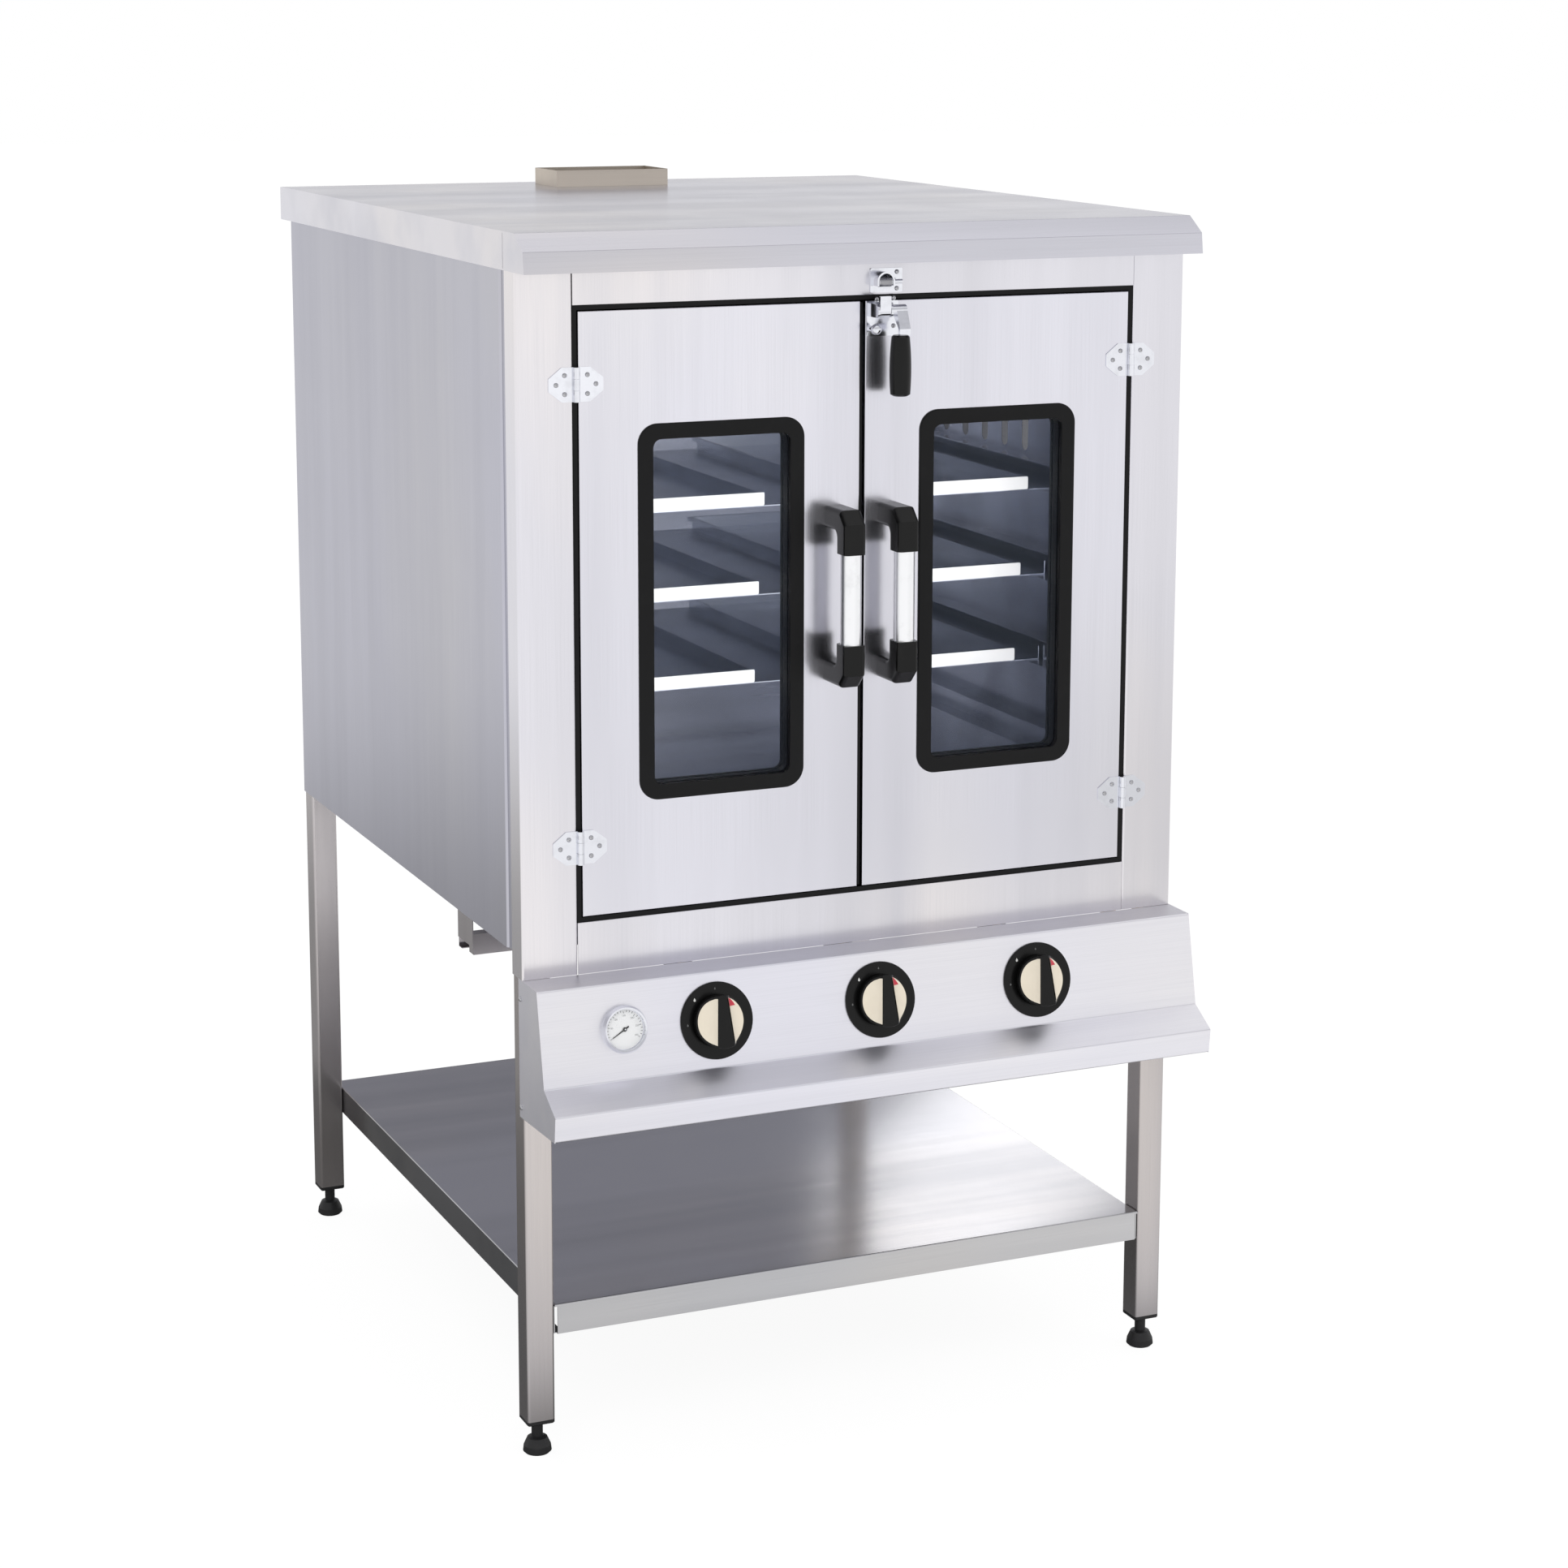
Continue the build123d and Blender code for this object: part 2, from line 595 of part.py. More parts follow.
def tray_runner(level):
    """Right-hand C channel that a tray's edge slides in."""
    seat = LOWEST_RUNNER + level * RUNNER_PITCH
    x = (CHAMBER_SIDE - RUNNER_DEPTH, CHAMBER_SIDE)
    y = (CHAMBER_FRONT + REBATE, CHAMBER_BACK)
    z = (seat - SHEET, seat - SHEET + RUNNER_HEIGHT)
    return block(x, y, z) - block((x[0] - 1, x[1] - SHEET), (y[0] - 1, y[1] + 1), (seat, z[1] - SHEET))


def sheet_ring(x, y, z, outer, inner):
    """Rectangular ring between an outer and an inner inset of one rectangle."""
    ring = block((x[0] + outer, x[1] - outer), (y[0] + outer, y[1] - outer), z)
    return ring - block((x[0] + inner, x[1] - inner), (y[0] + inner, y[1] - inner), (z[0] - 1, z[1] + 1))


def baking_tray(y, floor_z):
    """Right-hand tray of a level: a floor sheet and four mitred rails, each rolled over at its rim."""
    x = (TRAY_FROM_MIDDLE, CHAMBER_SIDE - TRAY_FROM_WALL)
    top = floor_z - SHEET + TRAY_HEIGHT
    wall = TRAY_RIM + SHEET
    rim = sheet_ring(x, y, (top - TRAY_RIM, top), 0, SHEET)
    rim += sheet_ring(x, y, (top - SHEET, top), 0, wall)
    rim += sheet_ring(x, y, (floor_z + SHEET, top), TRAY_RIM, wall)
    turns = ((0, 0), (1, 0), (1, 1), (0, 1))
    corners = [(x[right], y[rear]) for right, rear in turns]
    inner = [(x[right] + (wall, -wall)[right], y[rear] + (wall, -wall)[rear]) for right, rear in turns]
    rails = []
    for number in range(4):
        after = (number + 1) % 4
        mitre = Polyline(corners[number], corners[after], inner[after], inner[number], close=True)
        rails.append(rim & extrude(Pos(0, 0, floor_z) * make_face(mitre), amount=TRAY_HEIGHT))
    floor = block(
        (x[0] + TRAY_RIM, x[1] - TRAY_RIM), (y[0] + TRAY_RIM, y[1] - TRAY_RIM), (floor_z, floor_z + SHEET))
    return [floor, *rails]


def tray_level(level, setback):
    """Pair of trays on their carrier, a sheet with two upright sides that slides in the runners."""
    seat = LOWEST_RUNNER + level * RUNNER_PITCH + FIT
    side = CHAMBER_SIDE - SHEET - CARRIER_CLEARANCE
    y = (CHAMBER_FRONT + setback, CHAMBER_FRONT + setback + TRAY_DEPTH)
    carrier = block((-side, side), y, (seat, seat + SHEET))
    upright_side = block((side - SHEET, side), y, (seat + SHEET, seat + TRAY_HEIGHT))
    trays = [solid for piece in baking_tray(y, seat + SHEET) for solid in both_sides(piece)]
    return [carrier, *both_sides(upright_side), *trays]


def insulation():
    """Slabs beside, above and behind the chamber."""
    wall = CHAMBER_SIDE + LINER_SHEET + FIT
    y_front = FRONT + POST + SHEET + FIT + JOGGLE_WIDTH
    z = (CHAMBER_BOTTOM, CHAMBER_TOP)
    beside = block((wall, SIDE - JOGGLE_DEPTH - SHEET - FIT), (y_front, REAR - POST - FIT), z)
    roof_z = (CHAMBER_TOP + LINER_SHEET + FIT, LID_TOP - SHEET - FIT)
    above = block((-CHAMBER_SIDE, CHAMBER_SIDE), (CHAMBER_FRONT + LINER_SHEET + FIT, CHAMBER_BACK), roof_z)
    behind = block((FLUE_WIDTH / 2 + FIT, wall - 2 * FIT), (FLUE_FRONT + FIT, REAR - SHEET - FIT), z)
    return [*both_sides(beside), above, *both_sides(behind)]


# Doors, modelled on the right and mirrored for the left

def window_hole(margin, y):
    """Cut for the window's gasket through a door sheet."""
    neck = 2 * (GASKET_NECK + margin)
    return slab(
        WINDOW_WIDTH + neck, WINDOW_HEIGHT + neck, WINDOW_CORNER + GASKET_NECK, DOOR_CENTRE, DOOR_MIDDLE_Z, y)


def door_skin():
    """Outer door pan with its returns, open at the back."""
    skin = pan((DOOR_INNER, DOOR_OUTER), (FRONT, DOOR_BACK), (DOOR_BOTTOM, DOOR_TOP), (1, 1), DOOR_SHEET)
    skin = fillet(skin.faces().sort_by(Axis.Y)[0].edges(), DOOR_SHEET)
    return skin - window_hole(FIT / 2, (FRONT - 1, FRONT + 2 * DOOR_SHEET))


def door_liner():
    """Inner door pan, which closes the back of the outer one."""
    inset = DOOR_SHEET + FIT / 2
    liner = pan(
        (DOOR_INNER + inset, DOOR_OUTER - inset), (DOOR_BACK - DOOR_THICKNESS / 2, DOOR_BACK),
        (DOOR_BOTTOM + inset, DOOR_TOP - inset), (1, 0), DOOR_SHEET)
    return liner - window_hole(FIT / 2, (DOOR_BACK - 2 * DOOR_SHEET, DOOR_BACK + 1))


def pane_depths():
    """Front and back face of each of the two panes."""
    first = FRONT + GLASS_THICKNESS
    last = DOOR_BACK - GLASS_THICKNESS
    return (first, first + GLASS_THICKNESS), (last - GLASS_THICKNESS, last)


def window_gasket():
    """Rubber frame: a flange on each face of the door and a neck grooved for two panes."""
    frame = 2 * GASKET_FRAME
    front = slab(
        WINDOW_WIDTH + frame, WINDOW_HEIGHT + frame, WINDOW_CORNER + 16, DOOR_CENTRE, DOOR_MIDDLE_Z,
        (FRONT - GASKET_PROUD, FRONT))
    front = fillet(front.faces().sort_by(Axis.Y)[0].edges(), GASKET_PROUD * 0.6)
    gasket = front + window_hole(0, (FRONT, DOOR_BACK))
    rear = frame - GASKET_PROUD
    gasket += slab(
        WINDOW_WIDTH + rear, WINDOW_HEIGHT + rear, WINDOW_CORNER + 14, DOOR_CENTRE, DOOR_MIDDLE_Z,
        (DOOR_BACK, DOOR_BACK + GASKET_PROUD / 2))
    gasket -= slab(
        WINDOW_WIDTH, WINDOW_HEIGHT, WINDOW_CORNER, DOOR_CENTRE, DOOR_MIDDLE_Z,
        (FRONT - GASKET_PROUD - 1, DOOR_BACK + GASKET_PROUD + 1))
    groove = 2 * (GLASS_BITE + FIT)
    for y in pane_depths():
        gasket -= slab(
            WINDOW_WIDTH + groove, WINDOW_HEIGHT + groove, WINDOW_CORNER + GLASS_BITE, DOOR_CENTRE,
            DOOR_MIDDLE_Z, y)
    return gasket


def window_panes():
    """Outer and inner glass."""
    width, height = WINDOW_WIDTH + 2 * GLASS_BITE, WINDOW_HEIGHT + 2 * GLASS_BITE
    corner = WINDOW_CORNER + GLASS_BITE
    return [slab(width, height, corner, DOOR_CENTRE, DOOR_MIDDLE_Z, y) for y in pane_depths()]


def handle_end():
    """Upper handle elbow: an arm off the door, a chamfered corner and a sleeve over the tube."""
    outer = FRONT - HANDLE_STANDOFF - HANDLE_END_WIDTH / 2
    inner = outer + HANDLE_END_WIDTH
    top = HANDLE_CENTRE_Z + HANDLE_HEIGHT / 2
    foot = top - HANDLE_END_HEIGHT
    arm = top - HANDLE_END_ARM
    points = (
        (FRONT, top), (outer + HANDLE_END_CHAMFER, top), (outer, top - HANDLE_END_CHAMFER), (outer, foot),
        (inner, foot), (inner, arm), (FRONT, arm))
    x = HANDLE_FROM_MIDDLE - HANDLE_END_WIDTH / 2
    elbow = extrude(Plane.YZ.offset(x) * make_face(Polyline(*points, close=True)), amount=HANDLE_END_WIDTH)
    crook = elbow.edges().filter_by(Axis.X).sort_by_distance((HANDLE_FROM_MIDDLE, inner, arm))[0]
    elbow = fillet(crook, HANDLE_END_ARM / 3)
    long_edges = [
        edge for edge in elbow.edges().filter_by(Axis.X, reverse=True)
        if FRONT - 1 > edge.center().Y and edge.center().Z > foot + 1]
    elbow = fillet(long_edges, HANDLE_END_WIDTH / 5)
    socket = Pos(HANDLE_FROM_MIDDLE, FRONT - HANDLE_STANDOFF, foot + HANDLE_SOCKET / 2) * Cylinder(
        HANDLE_TUBE / 2 + PIN_CLEARANCE, HANDLE_SOCKET)
    return elbow - socket


def handle_ends():
    """Both elbows of one handle."""
    upper = handle_end()
    return [upper, mirror(upper, about=Plane.XY.offset(HANDLE_CENTRE_Z))]


def handle_tube():
    """Bright tube between the two elbows."""
    length = HANDLE_HEIGHT - 2 * (HANDLE_END_HEIGHT - HANDLE_SOCKET)
    ring = Circle(HANDLE_TUBE / 2) - Circle(HANDLE_TUBE / 2 - HANDLE_TUBE_WALL)
    return extrude(
        Pos(HANDLE_FROM_MIDDLE, FRONT - HANDLE_STANDOFF, HANDLE_CENTRE_Z - length / 2) * ring, amount=length)


# Butterfly hinges

def hinge_leaf(height, towards, knuckles):
    """Tapered leaf with its knuckles: towards is 1 for the frame's side of the pin, -1 for the door's."""
    reach = HINGE_KNUCKLE / 2
    outline = (
        (0, HINGE_LEAF_HEIGHT / 2), (HINGE_LEAF_SHOULDER, HINGE_LEAF_HEIGHT / 2),
        (HINGE_LEAF_WIDTH, HINGE_LEAF_TIP / 2), (HINGE_LEAF_WIDTH, -HINGE_LEAF_TIP / 2),
        (HINGE_LEAF_SHOULDER, -HINGE_LEAF_HEIGHT / 2), (0, -HINGE_LEAF_HEIGHT / 2))
    face = make_face(Polyline(*outline, close=True))
    face = fillet(face.vertices().filter_by(lambda vertex: vertex.X > HINGE_LEAF_SHOULDER / 2), BEND)
    for sign in (1, -1):
        face -= Pos(HINGE_INNER_HOLE[0], sign * HINGE_INNER_HOLE[1]) * Circle(HINGE_HOLE / 2)
    face -= Pos(*HINGE_OUTER_HOLE) * Circle(HINGE_HOLE / 2)
    plane = Plane(origin=(0, FRONT, 0), x_dir=(1, 0, 0), z_dir=(0, -1, 0))
    leaf = extrude(plane * face, amount=HINGE_LEAF_THICKNESS)
    clear = reach + HINGE_KNUCKLE_GAP
    middle = HINGE_LEAF_HEIGHT / 3
    bands = {
        "outer": ((-HINGE_LEAF_HEIGHT / 2, -middle / 2 - HINGE_KNUCKLE_GAP / 2),
                  (middle / 2 + HINGE_KNUCKLE_GAP / 2, HINGE_LEAF_HEIGHT / 2)),
        "middle": ((-middle / 2 + HINGE_KNUCKLE_GAP / 2, middle / 2 - HINGE_KNUCKLE_GAP / 2),),
    }
    leaf -= Pos(0, HINGE_Y, 0) * Cylinder(clear, HINGE_LEAF_HEIGHT + 2)
    for low, high in bands[knuckles]:
        barrel = Pos(0, HINGE_Y, (low + high) / 2) * Cylinder(reach, high - low)
        bridge = block((0, clear + 1), (FRONT - HINGE_LEAF_THICKNESS, FRONT), (low, high))
        leaf += barrel + bridge
    pin = Pos(0, HINGE_Y, 0) * Cylinder(HINGE_PIN / 2, HINGE_LEAF_HEIGHT)
    hole = Pos(0, HINGE_Y, 0) * Cylinder(HINGE_PIN / 2 + PIN_CLEARANCE, HINGE_LEAF_HEIGHT + 2)
    leaf = leaf + pin if knuckles == "outer" else leaf - hole
    if towards < 0:
        leaf = mirror(leaf, about=Plane.YZ)
    return Pos(HINGE_X, 0, height) * leaf


# Lever latch

def crosswise(diameter, x, y, z):
    """Round bar along X between two values of X."""
    return rod(diameter, (min(x), y, z), (max(x), y, z))


def latch_body():
    """Bracket on the right-hand door: a base, two ears with the pivot pin, and a ball-ended stop."""
    top = DOOR_TOP - FIT
    plate = (FRONT - LATCH_PLATE, FRONT)
    body = block(LATCH_BASE, plate, (top - LATCH_BASE_HEIGHT, top))
    body = fillet(body.edges().filter_by(Axis.Y), LATCH_PLATE)
    for x in LATCH_EARS:
        ear = (x, x + LATCH_EAR)
        ear_z = (LATCH_PIVOT_Z - LATCH_EAR_RADIUS, LATCH_PIVOT_Z + LATCH_EAR_RADIUS)
        body += block(ear, (LATCH_PIVOT_Y, FRONT), ear_z)
        body += crosswise(2 * LATCH_EAR_RADIUS, ear, LATCH_PIVOT_Y, LATCH_PIVOT_Z)
    hub_hole = (LATCH_EARS[1] - 1, LATCH_EARS[1] + LATCH_EAR + 1)
    body -= crosswise(LEVER_HUB + 2 * PIN_CLEARANCE, hub_hole, LATCH_PIVOT_Y, LATCH_PIVOT_Z)
    body += crosswise(LATCH_PIN, (LATCH_EARS[0], LATCH_BASE[1]), LATCH_PIVOT_Y, LATCH_PIVOT_Z)
    x, drop = BALL_SPOT
    ball_y = LATCH_PIVOT_Y + BALL_DIAMETER / 4
    body += rod(BALL_DIAMETER / 2, (x, ball_y, top - drop), (x, FRONT, top - drop))
    return body + Pos(x, ball_y, top - drop) * Sphere(BALL_DIAMETER / 2)


def latch_lever():
    """Lever beside the bracket: a boss with a claw between the ears, an arm and a shank for the grip."""
    ears = (LATCH_EARS[0] + LATCH_EAR + FIT, LATCH_EARS[1] - FIT)
    arm = (LEVER_X, LEVER_X + LEVER_WIDTH)
    y, z = LATCH_PIVOT_Y, LATCH_PIVOT_Z
    half = LEVER_THICKNESS / 2
    lever = crosswise(2 * LEVER_BOSS, (LATCH_EARS[1] + LATCH_EAR + FIT, arm[1]), y, z)
    lever += crosswise(LEVER_HUB, (ears[1] - 1, arm[1]), y, z)
    shin = Polyline(
        (y - LEVER_BOSS, z), (GRIP_Y - half, GRIP_TOP + LEVER_BOSS), (GRIP_Y - half, GRIP_TOP),
        (GRIP_Y + half, GRIP_TOP), (GRIP_Y + half, GRIP_TOP + LEVER_BOSS), (y + half, z - LEVER_BOSS), (y, z),
        close=True)
    lever += extrude(Plane.YZ.offset(arm[0]) * make_face(shin), amount=LEVER_WIDTH)
    lever += block(
        (arm[0], arm[0] + SHANK_WIDTH), (GRIP_Y - half, GRIP_Y + half), (GRIP_TOP - SHANK_LENGTH, GRIP_TOP))
    lever += crosswise(2 * LEVER_BOSS, ears, y, z)
    lever += block(ears, (y - LEVER_BOSS, y - half), (z, z + CLAW_LENGTH))
    return lever - crosswise(LATCH_PIN + 2 * PIN_CLEARANCE, (ears[0] - 1, arm[1] + 1), y, z)


def latch_grip():
    """Slightly barrelled black grip on the lever's shank."""
    radius = GRIP_DIAMETER / 2
    neck = radius - GRIP_TAPER
    edge = GRIP_TAPER
    sides = Spline((radius - edge / 2, edge), (radius, GRIP_LENGTH * 0.4), (neck, GRIP_LENGTH - edge))
    ends = Polyline((neck, GRIP_LENGTH - edge), (neck - edge, GRIP_LENGTH), (0, GRIP_LENGTH), (0, 0),
                    (radius - 2 * edge, 0), (radius - edge / 2, edge))
    grip = Pos(GRIP_X, GRIP_Y, GRIP_TOP - GRIP_LENGTH) * revolve(Plane.XZ * make_face(sides + ends), Axis.Z)
    half = LEVER_THICKNESS / 2 + PIN_CLEARANCE
    slot_x = (LEVER_X - PIN_CLEARANCE, LEVER_X + SHANK_WIDTH + PIN_CLEARANCE)
    return grip - block(slot_x, (GRIP_Y - half, GRIP_Y + half), (GRIP_TOP - SHANK_LENGTH, GRIP_TOP + 1))


def latch_keeper():
    """Keeper on the lintel: a plate, an arched hood, and the roller on its pin under the hood."""
    plate = block(KEEPER_X, (FRONT - LATCH_PLATE, FRONT), (KEEPER_BOTTOM, KEEPER_BOTTOM + KEEPER_HEIGHT))
    plate = fillet(plate.edges().filter_by(Axis.Y), LATCH_PLATE)
    face = Plane(origin=(KEEPER_HOOD_X, FRONT, KEEPER_HOOD_Z), x_dir=(1, 0, 0), z_dir=(0, -1, 0))
    arch = Circle(KEEPER_HOOD) - Circle(KEEPER_HOOD - KEEPER_HOOD_SHEET)
    arch -= Pos(0, -KEEPER_HOOD) * Rectangle(2 * KEEPER_HOOD, 2 * KEEPER_HOOD)
    for side in (-1, 1):
        arch += Pos(side * (KEEPER_HOOD - KEEPER_HOOD_SHEET / 2), -KEEPER_HOOD / 4) * Rectangle(
            KEEPER_HOOD_SHEET, KEEPER_HOOD / 2)
    hood = extrude(face * arch, amount=KEEPER_HOOD_REACH)
    roller_y = FRONT - KEEPER_HOOD_REACH + ROLLER_DIAMETER / 2
    middle = (KEEPER_HOOD_X - ROLLER_LENGTH / 2, KEEPER_HOOD_X + ROLLER_LENGTH / 2)
    roller_z = KEEPER_HOOD_Z - 1
    roller = crosswise(ROLLER_DIAMETER, middle, roller_y, roller_z)
    pin = crosswise(LATCH_PIN, (KEEPER_HOOD_X - KEEPER_HOOD, KEEPER_X[1] - LATCH_PIN), roller_y, roller_z)
    return plate + hood + roller + pin


# Seals

def door_frame_seal():
    """Four strips round the opening: a flat part behind the doors and a lip in the gap beside them."""
    lip = DOOR_GAP - SEAL_CLEARANCE - FIT
    outer_x = OPENING_SIDE - FIT
    flat_y = (DOOR_BACK + FIT, CHAMBER_FRONT)
    lip_y = (FRONT + SEAL_SETBACK, CHAMBER_FRONT)
    inner_x = CHAMBER_SIDE + FIT
    strips = []
    for edge, sign in ((OPENING_BOTTOM, 1), (OPENING_TOP, -1)):
        start = edge + sign * FIT
        strip = block((-outer_x, outer_x), lip_y, (start, start + sign * lip))
        strip += block((-outer_x, outer_x), flat_y, (start, edge + sign * (REBATE - FIT)))
        strips.append(strip)
    z = (OPENING_BOTTOM + REBATE, OPENING_TOP - REBATE)
    lip_z = (OPENING_BOTTOM + FIT + lip, OPENING_TOP - FIT - lip)
    side = block((outer_x - lip, outer_x), (lip_y[0], flat_y[0]), lip_z)
    side += block((inner_x, outer_x), flat_y, z)
    return [*strips, *both_sides(side)]


def door_centre_seal():
    """Strip on the left-hand door's free edge."""
    return block(
        (-DOOR_INNER, -DOOR_INNER + CENTRE_SEAL), (FRONT + SEAL_SETBACK, DOOR_BACK),
        (DOOR_BOTTOM + BEND, DOOR_TOP - BEND))


# Control panel

def console_points():
    """Outer folds of the console, seen from the side, from its top rear round to its bottom rear."""
    back = FRONT + SHEET
    return (
        (back, CONSOLE_TOP - CONSOLE_FLANGE), (back, CONSOLE_TOP), (FRONT - CONSOLE_SHELF, CONSOLE_TOP),
        (FRONT - CONSOLE_FACE_REACH, CONSOLE_FACE_FOOT), (FRONT - CONSOLE_REACH, CONSOLE_BEVEL),
        (FRONT - CONSOLE_LIP_REACH, CONSOLE_LIP),
        (back, CONSOLE_BOTTOM), (back, CONSOLE_BOTTOM + CONSOLE_FLANGE))


def control_panel():
    """Folded console sheet with holes for the spindles and the thermometer."""
    side = SIDE - SHEET
    sheet = folded(console_points(), SHEET, BEND, Plane.YZ.offset(-side), 2 * side)
    for x in KNOB_POSITIONS.values():
        sheet -= console_plane(x, KNOB_HEIGHT) * Cylinder(SPINDLE_HOLE / 2, 8 * SHEET)
    can = THERMOMETER_DIAMETER / 2 - THERMOMETER_RIM
    sheet -= console_plane(THERMOMETER_X, THERMOMETER_Z) * Cylinder(can + PIN_CLEARANCE * 2, 8 * SHEET)
    return sheet


def console_end():
    """Right-hand cheek that closes the console, with a flange on the leg's side."""
    outline = make_face(Polyline(*console_points()[1:-1], close=True))
    cheek = extrude(Plane.YZ.offset(SIDE - SHEET) * outline, amount=SHEET)
    cheek += block((SIDE - SHEET, SIDE), (FRONT, FRONT + CHEEK_FLANGE), (CONSOLE_BOTTOM, CONSOLE_TOP))
    return cheek


def knob_bezel(x):
    """Round dial plate behind a knob."""
    disc = upright(BEZEL_DIAMETER / 2, BEZEL_THICKNESS)
    disc = fillet(disc.faces().sort_by(Axis.Z)[-1].edges(), BEZEL_THICKNESS / 2)
    return console_plane(x, KNOB_HEIGHT) * (disc - Cylinder(SPINDLE_HOLE / 2, 4 * BEZEL_THICKNESS))


def flatted(radius, flat):
    """Section of a round shaft with one flat."""
    return Circle(radius) - Pos(0, -radius - flat) * Rectangle(2 * radius, 2 * radius)


def knob_spindle(x):
    """Valve spindle with a flat for the knob, from inside the valve to inside the knob."""
    radius = SPINDLE / 2
    length = VALVE_BORE - 2 * PIN_CLEARANCE
    shaft = Pos(0, 0, -length) * upright(radius, length + BEZEL_THICKNESS)
    end = Pos(0, 0, BEZEL_THICKNESS) * flatted(radius, radius / 2)
    shaft += extrude(end, amount=SPINDLE_TOP - BEZEL_THICKNESS)
    return console_plane(x, KNOB_HEIGHT) * shaft


def knob(x):
    """Cooker knob: a round body scooped on both sides of a tapered grip ridge, bored for the spindle."""
    body = Pos(0, 0, KNOB_BASE) * upright(KNOB_DIAMETER / 2, KNOB_RIDGE)
    floor = KNOB_BASE + KNOB_RIM
    for side in (-1, 1):
        scoop = Pos(0, 0, floor + KNOB_SCOOP) * Rot(90, 0, 0) * Cylinder(KNOB_SCOOP, 2 * KNOB_DIAMETER)
        scoop += block((0, side * KNOB_DIAMETER), (-KNOB_DIAMETER, KNOB_DIAMETER), (floor, KNOB_TOP + 1))
        away = side * (KNOB_RIDGE_WIDTH / 2 + KNOB_SCOOP)
        body -= Pos(away, 0, 0) * Rot(0, 0, side * KNOB_RIDGE_TAPER) * scoop
    top = body.faces().sort_by(Axis.Z)[-1]
    body = fillet(top.edges(), 1)
    depth = SPINDLE_TOP + KNOB_TRAVEL + FIT
    bore = flatted(SPINDLE / 2 + PIN_CLEARANCE, SPINDLE / 4 + PIN_CLEARANCE)
    body -= extrude(Pos(0, 0, KNOB_BASE - 1) * bore, amount=depth - KNOB_BASE + 1)
    return console_plane(x, KNOB_HEIGHT) * body


def thermometer_case():
    """Round case with a rolled rim, a recessed dial and the needle's post, let into the panel."""
    radius = THERMOMETER_DIAMETER / 2
    rim = THERMOMETER_RIM
    can = radius - rim
    post = NEEDLE_POST / 2
    bevel = THERMOMETER_CAN_BEVEL
    outline = Polyline(
        (0, -THERMOMETER_CAN), (can - bevel, -THERMOMETER_CAN), (can, bevel - THERMOMETER_CAN), (can, 0),
        (radius, 0), (radius, THERMOMETER_PROUD - rim), (radius - rim / 2, THERMOMETER_PROUD),
        (can, THERMOMETER_PROUD - bevel / 2), (can, DIAL_RISE), (post, DIAL_RISE), (post, NEEDLE_POST_RISE),
        (0, NEEDLE_POST_RISE), (0, -THERMOMETER_CAN))
    case = revolve(Plane.XZ * make_face(outline), Axis.Z)
    return console_plane(THERMOMETER_X, THERMOMETER_Z) * case


def thermometer_lens():
    """Clear disc over the dial."""
    radius = THERMOMETER_DIAMETER / 2 - THERMOMETER_RIM - PIN_CLEARANCE
    lens = Pos(0, 0, LENS_RISE) * Cylinder(radius, LENS_THICKNESS)
    return console_plane(THERMOMETER_X, THERMOMETER_Z) * lens


def thermometer_needle():
    """Pointer with a round boss on the dial's post and a short tail."""
    boss = NEEDLE_BOSS / 2
    hub = Circle(boss) - Circle(NEEDLE_POST / 2 + PIN_CLEARANCE)
    root, tip = NEEDLE_ROOT / 2, NEEDLE_TIP / 2
    corners = ((0, root), (NEEDLE_LENGTH, tip), (NEEDLE_LENGTH, -tip), (0, -root))
    pointer = make_face(Polyline(*corners, close=True))
    tail = Pos(-boss - NEEDLE_TAIL[0] / 6, 0) * Rectangle(*NEEDLE_TAIL)
    outline = hub + (Rot(0, 0, NEEDLE_ANGLE) * (pointer + tail) - Circle(NEEDLE_POST))
    needle = extrude(Pos(0, 0, DIAL_RISE + FIT) * outline, amount=NEEDLE_THICKNESS)
    return console_plane(THERMOMETER_X, THERMOMETER_Z) * needle


# Gas train and burners

def burner_axis_z():
    """Height of the burners' centre lines, which lie on the trough's front channel."""
    return TROUGH_BOTTOM + TROUGH_FRONT_HEIGHT + BURNER_DIAMETER / 2


def gas_rail():
    """Manifold with three valve bodies and feed pipes, and the bent inlet pipe that runs to the rear."""
    centre = console_plane(0, KNOB_HEIGHT) * Pos(0, 0, -PIPE_DEPTH)
    y, z = centre.position.Y, centre.position.Z
    end = KNOB_SPACING + VALVE_BODY
    rail = rod(PIPE, (-end, y, z), (end, y, z))
    for x in KNOB_POSITIONS.values():
        place = console_plane(x, KNOB_HEIGHT)
        # The body is turned about its own axis so that its seam doesn't fall on the manifold's.
        turned = Rot(0, 0, VALVE_SEAM_TURN) * upright(VALVE_BODY / 2, VALVE_LENGTH - SHEET)
        rail += place * Pos(0, 0, -VALVE_LENGTH) * turned
        rail += rod(FEED_PIPE, (x, y, z), (x, FRONT + BURNER_START, burner_axis_z()))
        rail -= place * Pos(0, 0, -VALVE_BORE) * upright(SPINDLE / 2 + PIN_CLEARANCE, VALVE_BORE)
    points = (
        (end, y, z), (PIPE_X, y, z), (PIPE_X, FRONT + PIPE_BEND_REACH, PIPE_Z),
        (PIPE_X, REAR + PIPE_STUB, PIPE_Z))
    path = FilletPolyline(*points, radius=1.5 * PIPE)
    inlet = sweep(Plane(origin=points[0], z_dir=(1, 0, 0)) * Circle(PIPE / 2), path=path)
    thread = Circle(PIPE) - Circle(PIPE_THREAD / 2)
    inlet -= extrude(Plane(origin=points[-1], z_dir=(0, -1, 0)) * thread, amount=PIPE_THREAD_LENGTH)
    return [rail, inlet]


